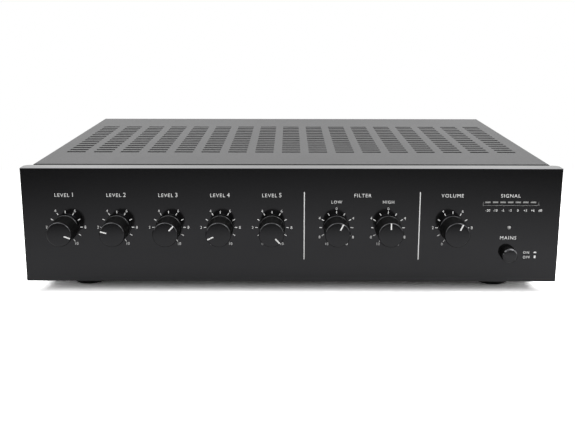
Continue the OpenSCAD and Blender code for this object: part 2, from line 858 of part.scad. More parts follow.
module switch_screws() {
    color("silver") for (side = [-1, 1])
        to_front(output_x + side * switch_screw_x, wall_back + switch_flange[1], button_z)
            screw(m3, switch_flange[1] + sheet_t + screw_end_gap);
}

module main_board() {
    color("#2f5d3a") difference() {
        translate([board_x, board_y, board_z]) cube([board_w, board_d, board_t]);
        at_standoffs() translate([0, 0, board_z - eps])
            cylinder(d = m3 + 2 * hole_fit, h = board_t + 2 * eps);
    }
}

// Six-sided spacers whose lower studs are screwed into the chassis floor
module board_standoffs() {
    color("#c9b458") at_standoffs() difference() {
        union() {
            translate([0, 0, floor_top]) cylinder(d = standoff_d, h = standoff_h, $fn = 6);
            translate([0, 0, foot_h]) cylinder(d = m3, h = sheet_t + eps);
        }
        translate([0, 0, board_z - board_screw_l])
            cylinder(d = m3 + 2 * thread_fit, h = board_screw_l + eps);
    }
}

module board_screws() {
    color("silver") at_standoffs() translate([0, 0, board_z + board_t]) rotate([180, 0, 0])
        screw(m3, board_t + board_screw_l - screw_end_gap);
}

// The flat cable from the dial board back and down to the main board
module ribbon_cable() {
    start = pot_back + board_t;
    color("#9aa0a4") translate([ribbon_x, 0, 0]) across(ribbon_w) polygon([
        [start, ribbon_z], [ribbon_y, ribbon_z], [ribbon_y, board_z + board_t],
        [ribbon_y + ribbon_t, board_z + board_t], [ribbon_y + ribbon_t, ribbon_z + ribbon_t],
        [start, ribbon_z + ribbon_t]
    ]);
}

// Upright capacitors with a groove below the rim
module filter_capacitors() {
    r = capacitor_d / 2;
    groove = capacitor_groove;
    groove_z = capacitor_h - capacitor_rim;
    color("#20304a") for (i = [0 : capacitors - 1])
        translate([capacitor_x, capacitor_y + i * capacitor_pitch, board_z + board_t])
            rotate_extrude() polygon([
                [0, 0], [r, 0], [r, groove_z - groove], [r - groove, groove_z], [r, groove_z + groove],
                [r, capacitor_h - groove], [r - groove, capacitor_h], [0, capacitor_h]
            ]);
}

module at_sink_screws() {
    for (x = sink_screw_xs) translate([sink_x + x, sink_y + sink_t / 2, 0]) children();
}

// An upright plate with fins to the rear, standing on the chassis floor
module heatsink() {
    fin_pitch = (sink_l - fin_t) / (fins - 1);
    color("#56585a") difference() {
        translate([sink_x - sink_l / 2, sink_y, floor_top]) linear_extrude(sink_h) union() {
            square([sink_l, sink_t]);
            for (i = [0 : fins - 1]) translate([i * fin_pitch, 0]) square([fin_t, sink_t + fin_d]);
        }
        at_sink_screws() translate([0, 0, floor_top - eps])
            cylinder(d = m4 + 2 * thread_fit, h = panel_screw_l + eps);
    }
}

module heatsink_screws() {
    color("silver") at_sink_screws() translate([0, 0, foot_h])
        screw(m4, sheet_t + panel_screw_l - screw_end_gap);
}

// Flat power transistors on the heatsink's front face, each with a bare metal tab hole
module power_transistors() {
    size = transistor_size;
    color("#1a1a1c") for (i = [0 : transistors - 1])
        translate([sink_x + (i - (transistors - 1) / 2) * transistor_pitch, sink_y, transistor_z])
            difference() {
                translate([-size[0] / 2, -size[1], 0]) cube(size);
                to_front(0, eps, tab_hole_z) cylinder(d = tab_hole_d, h = size[1] + 2 * eps);
            }
}

// Stacked laminations with upright legs and two windows, standing in the frame
module transformer_core(x, w, stack) {
    sixth = w / 6;
    translate([x, core_y, floor_top]) across(stack) difference() {
        translate([-w / 2, 0]) square([w, 5 * sixth]);
        for (side = [-1, 1]) translate([side * 1.5 * sixth - sixth / 2, sixth]) square([sixth, 3 * sixth]);
    }
}

// The winding around the middle leg
module transformer_coil(x, w, stack) {
    sixth = w / 6;
    bulge = coil_bulge(w);
    outer = [stack + 2 * bulge, 4 * sixth - 2 * coil_fit];
    inner = [stack + 2 * coil_fit, 2 * sixth + 2 * coil_fit];
    round_r = 0.5 * bulge;
    translate([x, core_y, floor_top + sixth + coil_fit]) linear_extrude(3 * sixth - 2 * coil_fit)
        difference() {
            union() {
                square([outer[0] - 2 * round_r, outer[1]], center = true);
                square([outer[0], outer[1] - 2 * round_r], center = true);
                for (sx = [-1, 1], sy = [-1, 1])
                    translate([sx * (outer[0] / 2 - round_r), sy * (outer[1] / 2 - round_r)])
                        circle(round_r);
            }
            square(inner, center = true);
        }
}

// A bent steel strap over the laminations, with a foot at each end
module transformer_frame(x, w, stack) {
    half = w / 2;
    top = 5 * w / 6;
    foot = half + frame_t + frame_foot;
    difference() {
        translate([x, core_y, floor_top]) across(stack) difference() {
            union() {
                translate([-half - frame_t, 0]) square([w + 2 * frame_t, top + frame_t]);
                translate([-foot, 0]) square([2 * foot, frame_t]);
            }
            translate([-half, -eps]) square([w, top + eps]);
        }
        at_transformer_feet(x, w, stack) translate([0, 0, floor_top - eps])
            cylinder(d = m4 + 2 * hole_fit, h = frame_t + 2 * eps);
    }
}

module power_transformer_core() {
    color("#5b5d60") transformer_core(power_x, power_core_w, power_stack);
}

module power_transformer_coil() {
    color("#b98a2e") transformer_coil(power_x, power_core_w, power_stack);
}

module power_transformer_frame() {
    color("silver") transformer_frame(power_x, power_core_w, power_stack);
}

module output_transformer_core() {
    color("#5b5d60") transformer_core(output_core_x, output_core_w, output_stack);
}

module output_transformer_coil() {
    color("#b98a2e") transformer_coil(output_core_x, output_core_w, output_stack);
}

module output_transformer_frame() {
    color("silver") transformer_frame(output_core_x, output_core_w, output_stack);
}

module transformer_screws() {
    color("silver") {
        at_transformer_feet(power_x, power_core_w, power_stack) transformer_screw();
        at_transformer_feet(output_core_x, output_core_w, output_stack) transformer_screw();
    }
}

module transformer_screw() {
    translate([0, 0, floor_top + frame_t]) rotate([180, 0, 0]) screw(m4, frame_t + sheet_t);
}

// Phone jacks behind the rear panel, with a guiding bore in each nose
module input_jacks() {
    wide_l = jack_body[1] - jack_end_t + sheet_t;
    color("#232325") for (i = [0 : jacks - 1]) translate([jack_x(i), 0, jack_z]) difference() {
        union() {
            centred_box(0, rear_in - jack_body[1], 0, jack_body);
            to_rear(0, rear_in - eps, 0) cylinder(r = jack_nose_r, h = sheet_t + jack_out + eps);
        }
        to_front(0, rear_out, 0) cylinder(r = jack_wide_r, h = wide_l);
        to_rear(0, rear_out - eps, 0) cylinder(d = jack_bore_d, h = jack_out + 2 * eps);
    }
}

module jack_nuts() {
    color("silver") for (i = [0 : jacks - 1])
        to_rear(jack_x(i), rear_out, jack_z) nut(jack_nut_r, jack_nut_t, jack_nose_r + thread_fit);
}

// The mains inlet: a flanged box, open to the rear, with slots for its pins in its floor
module mains_inlet() {
    outer = [inlet_w + 2 * inlet_wall, inlet_d, inlet_h + 2 * inlet_wall];
    mouth = rear_out + inlet_flange[1];
    cavity_y = rear_out - inlet_d + inlet_floor;
    color("#161617") difference() {
        union() {
            centred_box(inlet_x, rear_out - inlet_d, inlet_z, outer);
            centred_box(inlet_x, rear_out, inlet_z, inlet_flange);
        }
        centred_box(inlet_x, cavity_y, inlet_z, [inlet_w, mouth - cavity_y + eps, inlet_h]);
        at_pins() centred_box(0, cavity_y - inlet_floor - eps, 0, [
            pin_size[0] + 2 * thread_fit, inlet_floor + 2 * eps, pin_size[1] + 2 * thread_fit
        ]);
        for (side = [-1, 1])
            to_rear(inlet_x + side * inlet_screw_x, rear_out - eps, inlet_z)
                cylinder(d = m3 + 2 * hole_fit, h = inlet_flange[1] + 2 * eps);
    }
}

module at_pins() {
    for (p = pin_places) translate([inlet_x + p[0], 0, inlet_z + p[1]]) children();
}

// Three flat blades through the inlet's floor
module inlet_pins() {
    back = rear_out - inlet_d - pin_tail;
    color("#c8c9ca") at_pins()
        centred_box(0, back, 0, [pin_size[0], pin_tail + inlet_floor + pin_l, pin_size[1]]);
}

// A moulded strip with a barrier on each side of every terminal and an ear at each end
module speaker_terminals() {
    full = terminal_w + 2 * terminal_ear;
    ear_h = 0.7 * terminal_h;
    color("#141415") difference() {
        union() {
            centred_box(terminal_x, rear_out, terminal_z, [terminal_w, terminal_base, terminal_h]);
            centred_box(terminal_x, rear_out, terminal_z, [full, terminal_ear_t, ear_h]);
            for (i = [0 : terminals])
                centred_box(terminal_x + (i - terminals / 2) * terminal_pitch, rear_out, terminal_z,
                    [barrier_t, terminal_out, terminal_h]);
        }
        for (i = [0 : terminals - 1])
            to_front(terminal_place(i), rear_out + terminal_base + eps, terminal_z)
                cylinder(d = terminal_screw_d + 2 * thread_fit, h = terminal_screw_l + screw_end_gap + eps);
        for (side = [-1, 1])
            to_rear(terminal_x + side * (terminal_w + terminal_ear) / 2, rear_out - eps, terminal_z)
                cylinder(d = m3 + 2 * hole_fit, h = terminal_ear_t + 2 * eps);
    }
}

// The terminals' own screws, and the two that hold the strip
module speaker_terminal_screws() {
    color("#c2a24a") for (i = [0 : terminals - 1])
        to_front(terminal_place(i), rear_out + terminal_base, terminal_z)
            screw(terminal_screw_d, terminal_screw_l);
    color("#c2a24a") for (side = [-1, 1])
        to_front(terminal_x + side * (terminal_w + terminal_ear) / 2, rear_out + terminal_ear_t, terminal_z)
            screw(m3, terminal_ear_t + sheet_t + screw_spare);
}

module fuse_holder() {
    color("#161617") to_rear(fuse_x, rear_out, fuse_z) {
        translate([0, 0, -fuse_in]) cylinder(r = fuse_r, h = fuse_in + eps);
        cylinder(r = fuse_flange_r, h = fuse_flange_t);
    }
}

// The fuse's cap, with a slot for a coin
module fuse_cap() {
    bevel = 0.8;
    coin_depth = 2;
    coin_w = 1.6;
    color("#0f0f10") to_rear(fuse_x, rear_out + fuse_flange_t, fuse_z) difference() {
        rotate_extrude() polygon([
            [0, 0], [fuse_cap_r, 0], [fuse_cap_r, fuse_cap_l - bevel],
            [fuse_cap_r - bevel, fuse_cap_l], [0, fuse_cap_l]
        ]);
        translate([-fuse_cap_r, -coin_w / 2, fuse_cap_l - coin_depth])
            cube([2 * fuse_cap_r, coin_w, coin_depth + eps]);
    }
}

module earth_screw() {
    color("silver") to_front(fuse_x, rear_out, earth_z) screw(m4, sheet_t + screw_spare, earth_head);
}

for (i = [0 : last_dial]) {
    in_place() knob(i);
    in_place() shaft(i);
}
in_place() power_button();
in_place() switch_plunger();
in_place() front_panel();
in_place() front_panel_screws();
in_place() chassis_tray();
in_place() rear_panel();
in_place() rear_panel_screws();
in_place() top_cover();
in_place() cover_screws();
in_place() rubber_feet();
in_place() foot_screws();
in_place() potentiometers();
in_place() potentiometer_nuts();
in_place() control_board();
in_place() meter_board();
in_place() meter_board_screws();
in_place() meter_lights();
in_place() power_lamp();
in_place() power_switch();
in_place() switch_screws();
in_place() main_board();
in_place() board_standoffs();
in_place() board_screws();
in_place() ribbon_cable();
in_place() filter_capacitors();
in_place() heatsink();
in_place() heatsink_screws();
in_place() power_transistors();
in_place() power_transformer_core();
in_place() power_transformer_coil();
in_place() power_transformer_frame();
in_place() output_transformer_core();
in_place() output_transformer_coil();
in_place() output_transformer_frame();
in_place() transformer_screws();
in_place() input_jacks();
in_place() jack_nuts();
in_place() mains_inlet();
in_place() inlet_pins();
in_place() speaker_terminals();
in_place() speaker_terminal_screws();
in_place() fuse_holder();
in_place() fuse_cap();
in_place() earth_screw();
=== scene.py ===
"""Looks for a packed mixer amplifier: finishes, turned knobs, printed scales and a studio stage."""

import json
import math

import bmesh
import bpy
from bpy.props import FloatProperty, FloatVectorProperty, IntProperty, PointerProperty
from mathutils import Matrix, Vector


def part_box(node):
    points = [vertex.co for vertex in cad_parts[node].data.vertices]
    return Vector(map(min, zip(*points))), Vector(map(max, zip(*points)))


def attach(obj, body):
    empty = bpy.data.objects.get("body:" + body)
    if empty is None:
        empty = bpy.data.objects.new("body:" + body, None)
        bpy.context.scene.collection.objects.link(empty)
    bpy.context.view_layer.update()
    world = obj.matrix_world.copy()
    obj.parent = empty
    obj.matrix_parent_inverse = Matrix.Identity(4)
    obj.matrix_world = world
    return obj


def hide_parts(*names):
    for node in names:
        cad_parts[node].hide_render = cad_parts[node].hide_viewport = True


bl_info = {
    "name": "Mixer Amplifier",
    "version": (1, 0, 0),
    "blender": (4, 5, 0),
    "location": "3D View > Sidebar > Amplifier",
    "description": "Finishes, knobs, printed scales and a stage for a packed mixer amplifier",
    "category": "Object",
}

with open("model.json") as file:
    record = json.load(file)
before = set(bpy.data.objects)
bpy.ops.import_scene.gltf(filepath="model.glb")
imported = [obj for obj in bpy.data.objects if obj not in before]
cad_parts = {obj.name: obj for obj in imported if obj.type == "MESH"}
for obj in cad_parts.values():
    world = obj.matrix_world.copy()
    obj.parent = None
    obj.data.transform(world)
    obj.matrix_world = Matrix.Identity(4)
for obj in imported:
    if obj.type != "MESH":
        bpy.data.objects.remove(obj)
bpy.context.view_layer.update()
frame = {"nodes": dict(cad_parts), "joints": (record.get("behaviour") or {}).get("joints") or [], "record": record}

CABINET = "cabinet"
INPUT_DIALS = ("input_1", "input_2", "input_3", "input_4", "input_5")
TONE_DIALS = ("bass", "treble")
DIALS = INPUT_DIALS + TONE_DIALS + ("master",)
FRONT_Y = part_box("front_panel")[0].y
REAR_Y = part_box("rear_panel")[1].y
PANEL_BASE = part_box("front_panel")[0].z
DIAL_SWEEP = 150  # degrees that a dial turns each way from twelve o'clock
TICK_STEP = 30  # degrees from one tick of a dial to the next
FACE_RINGS = 8  # rings of facets across a knob's face
BUTTON_RINGS = 6  # rings of facets across the power button's face
ROUNDING_STEPS = 6  # facets along a rounded edge
LETTER_STEPS = 3  # facets along each curve of a letter
COOL_SHEEN = (0.95, 0.95, 1.0, 1.0)
FINE_GRAIN = 0.00002  # height of a fine surface grain in metres


def centre_of(node):
    """Middle of a node's box."""
    low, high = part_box(node)
    return (low + high) / 2


def rest_angle(dial):
    """Angle of a dial's pointer at rest, clockwise from twelve o'clock: its travel is even about twelve."""
    joint = next(j for j in frame["joints"] if j["name"] == "turn_" + dial)
    return math.radians(-sum(joint["range_deg"]) / 2)


def grey(level):
    """An opaque grey."""
    return (level, level, level, 1.0)


def shade(colour, factor):
    """A colour made darker or paler, and opaque."""
    return [factor * level for level in colour[:3]] + [1.0]


# Node trees

class Value:
    """A node's output, so that maths on values is written as plain expressions."""

    def __init__(self, nodes, socket):
        self.nodes = nodes
        self.socket = socket

    def maths(self, operation, first, second):
        return self.nodes.node("ShaderNodeMath", {"operation": operation}, {0: first, 1: second})

    def __add__(self, other):
        return self.maths("ADD", self, other)

    def __radd__(self, other):
        return self.maths("ADD", other, self)

    def __rsub__(self, other):
        return self.maths("SUBTRACT", other, self)

    def __mul__(self, other):
        return self.maths("MULTIPLY", self, other)

    def __rmul__(self, other):
        return self.maths("MULTIPLY", other, self)

    def __gt__(self, other):
        return self.maths("GREATER_THAN", self, other)

    def __lt__(self, other):
        return self.maths("LESS_THAN", self, other)


class Nodes:
    """One node tree, filled by its node method and by a few shorthands for it."""

    def __init__(self, tree):
        self.tree = tree
        tree.nodes.clear()

    def node(self, kind, settings=None, values=None, output=0):
        """Makes a node: its settings first, then its sockets' values or links; returns one output."""
        made = self.tree.nodes.new(kind)
        for name, setting in (settings or {}).items():
            if name == "stops":
                self.set_stops(made.color_ramp, setting)
            else:
                setattr(made, name, setting)
        for key, value in (values or {}).items():
            if isinstance(value, Value):
                self.tree.links.new(value.socket, made.inputs[key])
            else:
                made.inputs[key].default_value = value
        return Value(self, made.outputs[output]) if len(made.outputs) else None

    @staticmethod
    def set_stops(ramp, stops):
        """Gives a ramp its stops, as pairs of place and grey level."""
        while len(ramp.elements) < len(stops):
            ramp.elements.new(1.0)
        for element, (place, level) in zip(ramp.elements, stops):
            element.position = place
            element.color = grey(level)

    def place(self, scale=(1, 1, 1)):
        """Object coordinates, scaled."""
        plain = self.node("ShaderNodeTexCoord", output="Object")
        return self.node("ShaderNodeMapping", values={"Vector": plain, "Scale": scale})

    def noise(self, scale, detail=2.0, stretch=(1, 1, 1)):
        """Cloudy noise, with its features about one over the scale across."""
        values = {"Vector": self.place(stretch), "Scale": scale, "Detail": detail}
        return self.node("ShaderNodeTexNoise", values=values)

    def cells(self, scale, output="Distance", vector=None, **settings):
        """Cells about one over the scale across."""
        values = {"Vector": vector or self.place(), "Scale": scale}
        return self.node("ShaderNodeTexVoronoi", settings, values, output)

    def lines(self, direction, period, vector=None):
        """Even ridges along one axis, from 0 to 1."""
        settings = {"wave_type": "BANDS", "bands_direction": direction}
        values = {"Vector": vector or self.place(), "Scale": math.pi / (10 * period)}
        return self.node("ShaderNodeTexWave", settings, values, "Fac")

    def axis(self, letter):
        """One of the object coordinates as a value."""
        return self.node("ShaderNodeSeparateXYZ", values={0: self.place()}, output=letter)

    def ramp(self, value, stops):
        """A value sent through a ramp of greys."""
        return self.node("ShaderNodeValToRGB", {"stops": stops}, {"Fac": value})

    def mix(self, factor, first, second):
        """A colour between two."""
        return self.node("ShaderNodeMix", {"data_type": "RGBA"}, {0: factor, 6: first, 7: second}, 2)

    def bump(self, height, distance):
        """A normal from a height, at full strength."""
        return self.node("ShaderNodeBump", values={"Height": height, "Distance": distance, "Strength": 1.0})

    def surface(self, values):
        """The principled shader and the output."""
        self.output(self.node("ShaderNodeBsdfPrincipled", values=values))

    def output(self, shader):
        """The material's output."""
        self.node("ShaderNodeOutputMaterial", values={"Surface": shader})


def new_finish(name):
    """A material of that name, the frame's own where it has one, and its emptied node tree."""
    material = bpy.data.materials.get(name) or bpy.data.materials.new(name)
    material.use_nodes = True
    return material, Nodes(material.node_tree)


# Finishes

def satin_finish(name, colour, roughness, grain, depth, cloud=6.0):
    """Smooth paint or moulded plastic: faint clouding of the colour and a fine grain."""
    material, nodes = new_finish(name)
    speck = nodes.noise(grain, 3.0)
    patch = nodes.noise(cloud)
    nodes.surface({
        "Base Color": nodes.mix(patch, shade(colour, 0.8), shade(colour, 1.2)),
        "Specular Tint": COOL_SHEEN,
        "Roughness": roughness - 0.04 + 0.05 * speck + 0.03 * patch,
        "Normal": nodes.bump(speck, depth),
    })
    return material


def turned_moulding(name, colour, roughness, node, face, foot):
    """Glossy plastic, matt along the barrel between a turned piece's face and its foot."""
    material, nodes = new_finish(name)
    low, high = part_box(node)
    along = nodes.axis("Y")
    barrel = (along > low.y + face) * (along < high.y - foot)
    grain = nodes.noise(3000.0, 2.0, (1, 0.02, 1))
    patch = nodes.noise(40.0)
    gloss = nodes.node("ShaderNodeBsdfPrincipled", values={
        "Base Color": nodes.mix(patch, shade(colour, 0.8), colour),
        "Specular Tint": COOL_SHEEN,
        "Roughness": roughness - 0.02 + 0.04 * patch,
    })
    matt = nodes.node("ShaderNodeBsdfPrincipled", values={
        "Base Color": nodes.mix(grain, grey(0.003), grey(0.006)),
        "Roughness": 0.4 + 0.1 * grain,
        "Specular IOR Level": 0.03,
        "Normal": nodes.bump(grain, FINE_GRAIN),
    })
    nodes.output(nodes.node("ShaderNodeMixShader", values={0: barrel, 1: gloss, 2: matt}))
    return material


def textured_paint(name, colour, roughness):
    """Sprayed paint with a pebbled skin."""
    material, nodes = new_finish(name)
    pebble = nodes.noise(1500.0, 4.0)
    fleck = nodes.cells(900.0)
    patch = nodes.noise(8.0)
    nodes.surface({
        "Base Color": nodes.mix(pebble, shade(colour, 0.7), shade(colour, 1.3)),
        "Specular Tint": COOL_SHEEN,
        "Roughness": roughness - 0.05 + 0.06 * fleck + 0.05 * patch,
        "Normal": nodes.bump(pebble + 0.4 * fleck, 2 * FINE_GRAIN),
    })
    return material


def plated_sheet(name):
    """Zinc-plated sheet with its spangle and faint rolling lines."""
    material, nodes = new_finish(name)
    spangle = nodes.cells(110.0, "Color")
    rolled = nodes.noise(30.0, 3.0, (1, 40, 1))
    cloud = nodes.noise(14.0, 4.0)
    tone = nodes.mix(0.25, nodes.mix(cloud, (0.34, 0.35, 0.36, 1), (0.48, 0.48, 0.47, 1)), spangle)
    nodes.surface({
        "Base Color": nodes.mix(0.8, tone, (0.42, 0.42, 0.41, 1)),
        "Metallic": 1.0,
        "Roughness": 0.42 + 0.14 * cloud + 0.08 * rolled,
        "Normal": nodes.bump(rolled, FINE_GRAIN),
    })
    return material


def machined_metal(name, colour, roughness, stretch):
    """Turned or drawn metal: fine lines across the stretched axis."""
    material, nodes = new_finish(name)
    lines = nodes.noise(60.0, 3.0, stretch)
    stain = nodes.noise(240.0, 3.0)
    nodes.surface({
        "Base Color": nodes.mix(stain, shade(colour, 0.8), colour),
        "Metallic": 1.0,
        "Roughness": roughness + 0.12 * lines + 0.06 * stain,
        "Normal": nodes.bump(lines, FINE_GRAIN),
    })
    return material


def blackened_steel(name):
    """Black oxide on screw steel, a little brighter where it is rubbed."""
    material, nodes = new_finish(name)
    rub = nodes.noise(900.0, 4.0)
    nodes.surface({
        "Base Color": nodes.mix(nodes.ramp(rub, ((0.55, 0.0), (0.8, 1.0))), grey(0.012), grey(0.06)),
        "Metallic": 0.7,
        "Roughness": 0.36 + 0.2 * rub,
        "Normal": nodes.bump(rub, FINE_GRAIN),
    })
    return material


def foot_rubber(name, colour):
    """Matt rubber with a mottled skin."""
    material, nodes = new_finish(name)
    mottle = nodes.noise(420.0, 4.0)
    dust = nodes.noise(60.0, 3.0)
    nodes.surface({
        "Base Color": nodes.mix(0.6 * dust, colour, shade(colour, 3)),
        "Roughness": 0.72 + 0.2 * mottle,
        "Normal": nodes.bump(mottle, 0.00008),
    })
    return material


def board_laminate(name):
    """Green lacquer over straight runs of copper track, with square pads and a glass weave."""
    material, nodes = new_finish(name)
    track_pitch = 0.0025
    track_edge = 0.72
    weave_pitch = 0.0007
    level_or_upright = nodes.axis("Y") + nodes.axis("Z")
    flat = nodes.node("ShaderNodeCombineXYZ", values={0: nodes.axis("X"), 1: level_or_upright})
    block = nodes.cells(42.0, "Color", flat, distance="CHEBYCHEV")
    across = nodes.lines("X", track_pitch, flat) > track_edge
    along = nodes.lines("Y", track_pitch, flat) > track_edge
    tracks = (block > 0.54) * across + (block < 0.46) * along
    pads = nodes.cells(160.0, "Distance", flat, distance="CHEBYCHEV") < 0.16
    weave = nodes.lines("X", weave_pitch, flat) * nodes.lines("Y", weave_pitch, flat)
    lacquer = nodes.mix(weave, (0.012, 0.075, 0.026, 1), (0.016, 0.09, 0.032, 1))
    tracked = nodes.mix(tracks, lacquer, (0.03, 0.15, 0.055, 1))
    nodes.surface({
        "Base Color": nodes.mix(pads, tracked, (0.55, 0.52, 0.45, 1)),
        "Metallic": 0.8 * pads,
        "Roughness": 0.3 + 0.1 * weave,
        "Normal": nodes.bump(tracks + pads, 0.00004),
    })
    return material


def frosted_lens(name, colour):
    """Unlit moulded lens, frosted and slightly uneven."""
    material, nodes = new_finish(name)
    frost = nodes.noise(1500.0, 3.0)
    milk = nodes.noise(300.0)
    nodes.surface({
        "Base Color": nodes.mix(milk, shade(colour, 0.85), colour),
        "Roughness": 0.28 + 0.16 * frost,
        "Coat Weight": 0.3 * milk,
        "Normal": nodes.bump(frost, 0.00001),
    })
    return material


def flat_cable(name):
    """Grey flat cable: a ridge for each wire, and a red first wire."""
    material, nodes = new_finish(name)
    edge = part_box("ribbon_cable")[0].x
    wire = 0.00127
    ridge = nodes.lines("X", wire)
    first = nodes.axis("X") < edge + wire
    wear = nodes.noise(200.0, 3.0)
    plain = nodes.mix(ridge, grey(0.26), grey(0.42))
    nodes.surface({
        "Base Color": nodes.mix(first, plain, (0.45, 0.03, 0.02, 1)),
        "Roughness": 0.45 + 0.1 * wear,
        "Normal": nodes.bump(ridge, 0.0002),
    })
    return material


def capacitor_sleeve(name):
    """Shrunk dark sleeve with a pale stripe down one side and a bare aluminium top."""
    material, nodes = new_finish(name)
    low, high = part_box("filter_capacitors")
    stripe_depth = 0.0012
    bare_height = 0.0004
    stripe = nodes.axis("X") < low.x + stripe_depth
    top = nodes.axis("Z") > high.z - bare_height
    shrink = nodes.noise(160.0, 3.0)
    sleeve = nodes.mix(shrink, (0.010, 0.014, 0.035, 1), (0.018, 0.024, 0.055, 1))
    striped = nodes.mix(stripe, sleeve, (0.45, 0.46, 0.48, 1))
    nodes.surface({
        "Base Color": nodes.mix(top, striped, (0.62, 0.62, 0.63, 1)),
        "Metallic": top,
        "Roughness": 0.25 + 0.12 * shrink,
        "Normal": nodes.bump(shrink, 0.00006),
    })
    return material


def stacked_laminations(name):
    """Varnished transformer plates, edge on."""
    material, nodes = new_finish(name)
    plate = 0.0005
    plates = nodes.lines("X", plate)
    varnish = nodes.noise(90.0, 4.0)
    nodes.surface({
        "Base Color": nodes.mix(plates, (0.05, 0.048, 0.046, 1), (0.17, 0.165, 0.16, 1)),
        "Metallic": 0.5,
        "Roughness": 0.35 + 0.25 * varnish,
        "Normal": nodes.bump(plates, 0.00008),
    })
    return material


def taped_winding(name):
    """Copper winding under bands of amber tape."""
    material, nodes = new_finish(name)
    wire = 0.0007
    tape_width = 0.009
    turns = nodes.lines("Z", wire)
    band = nodes.ramp(nodes.lines("Z", tape_width), ((0.08, 0.0), (0.14, 1.0)))
    crease = nodes.noise(120.0, 4.0)
    tape = nodes.mix(crease, (0.30, 0.15, 0.03, 1), (0.52, 0.31, 0.08, 1))
    nodes.surface({
        "Base Color": nodes.mix(band, (0.22, 0.09, 0.02, 1), tape),
        "Roughness": 0.28 + 0.2 * crease,
        "Normal": nodes.bump(0.5 * turns + band, 0.00012),
    })
    return material


def print_ink(name, colour):
    """Screen-printed ink with slightly uneven cover."""
    material, nodes = new_finish(name)
    cover = nodes.noise(2200.0)
    nodes.surface({
        "Base Color": nodes.mix(cover, shade(colour, 0.88), colour),
        "Roughness": 0.45 + 0.15 * cover,
        "Normal": nodes.bump(cover, 0.000005),
    })
    return material


def make_finishes(look):
    """Every finish, by its slot in the record; the print has a name of its own."""
    finishes = (
        satin_finish("panel_paint", look.panel_colour, look.panel_roughness, grain=2600.0, depth=0.000004),
        textured_paint("cover_paint", look.cover_colour, look.cover_roughness),
        textured_paint("rear_paint", look.rear_colour, look.rear_roughness),
        plated_sheet("plated_steel"),
        machined_metal("screw_steel", (0.56, 0.56, 0.55, 1), roughness=0.25, stretch=(8, 8, 8)),
        blackened_steel("black_screw"),
        turned_moulding(
            "knob_plastic", look.knob_colour, look.knob_roughness,
            node="knob_master", face=look.knob_rim, foot=look.knob_foot,
        ),
        turned_moulding(
            "button_plastic", look.button_colour, look.knob_roughness,
            node="power_button", face=look.button_rim, foot=0.0,
        ),
        machined_metal("shaft_metal", (0.72, 0.72, 0.71, 1), roughness=0.22, stretch=(1, 50, 1)),
        satin_finish("white_plastic", (0.68, 0.67, 0.62, 1), 0.42, grain=1200.0, depth=FINE_GRAIN / 2),
        satin_finish("black_plastic", grey(0.014), 0.42, grain=1200.0, depth=FINE_GRAIN, cloud=60.0),
        foot_rubber("rubber", look.rubber_colour),
        board_laminate("circuit_board"),
        frosted_lens("lamp_lens", look.lens_colour),
        machined_metal("brass", (0.72, 0.50, 0.20, 1), roughness=0.25, stretch=(8, 8, 8)),
        flat_cable("ribbon"),
        capacitor_sleeve("capacitor_sleeve"),
        machined_metal("heatsink_metal", (0.035, 0.035, 0.037, 1), roughness=0.4, stretch=(30, 30, 1)),
        stacked_laminations("lamination_steel"),
        taped_winding("winding"),
        print_ink("print", look.print_colour),
    )
    return {finish.name: finish for finish in finishes}


# Pieces

def add_object(name, mould):
    """Puts a finished bmesh in the scene."""
    mesh = bpy.data.meshes.new(name)
    mould.to_mesh(mesh)
    mould.free()
    made = bpy.data.objects.new(name, mesh)
    bpy.context.scene.collection.objects.link(made)
    return made


def add_piece(name, mould, finish, body, stands_for=(), rounded=False):
    """Puts a finished bmesh in the scene as a piece that rides on a body."""
    piece = add_object(name, mould)
    piece.data.materials.append(bpy.data.materials[finish])
    if rounded:
        piece.data.shade_smooth()
        weighted = piece.modifiers.new("even_shading", "WEIGHTED_NORMAL")
        weighted.weight = 100
    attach(piece, body)
    if stands_for:
        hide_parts(*stands_for)


def turned(profile, axis, steps):
    """A turned solid about an axis through the origin.

    The profile is a row of corners, each with its radius, its height and its rounding. It starts and ends
    on the axis, or closes on itself.
    """
    mould = bmesh.new()
    across = Vector((1, 0, 0))
    points = [mould.verts.new(across * radius + axis * height) for radius, height, rounding in profile]
    for pair in zip(points, points[1:]):
        mould.edges.new(pair)
    if profile[0][0] > 0:
        mould.edges.new((points[-1], points[0]))
    for size in sorted({rounding for radius, height, rounding in profile if rounding > 0}):
        corners = [point for point, corner in zip(points, profile) if corner[2] == size]
        bmesh.ops.bevel(
            mould, geom=corners, offset=size, segments=ROUNDING_STEPS, profile=0.5,
            affect="VERTICES", material=-1,
        )
    bmesh.ops.spin(
        mould, geom=mould.verts[:] + mould.edges[:], cent=(0, 0, 0), axis=axis, angle=2 * math.pi,
        steps=steps, use_merge=True,
    )
    bmesh.ops.remove_doubles(mould, verts=mould.verts, dist=1e-7)
    bmesh.ops.recalc_face_normals(mould, faces=mould.faces)
    return mould


def crowned_face(rim, peak, crown, spread, rings):
    """Profile of a face up to its rim: it falls from its peak by the crown over the spread's radius."""
    radii = [rim * ring / rings for ring in range(rings)]
    return [(radius, peak - crown * (radius / spread) ** 2, 0) for radius in radii]


def move(mould, place):
    """Moves a whole bmesh."""
    bmesh.ops.translate(mould, vec=place, verts=mould.verts)


def add_turned(node, profile, steps, plastic, body):
    """Turns a piece that stands out of the front panel, in the place of a node."""
    middle = centre_of(node)
    mould = turned(profile, Vector((0, -1, 0)), steps)
    move(mould, (middle.x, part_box(node)[1].y, middle.z))
    add_piece("turned_" + node, mould, plastic, body, [node], True)


def add_bar(mould, size, place):
    """Adds a straight bar to a bmesh: its size, and the matrix that puts its middle in place."""
    bmesh.ops.create_cube(mould, size=1.0, matrix=place @ Matrix.Diagonal((*size, 1)))


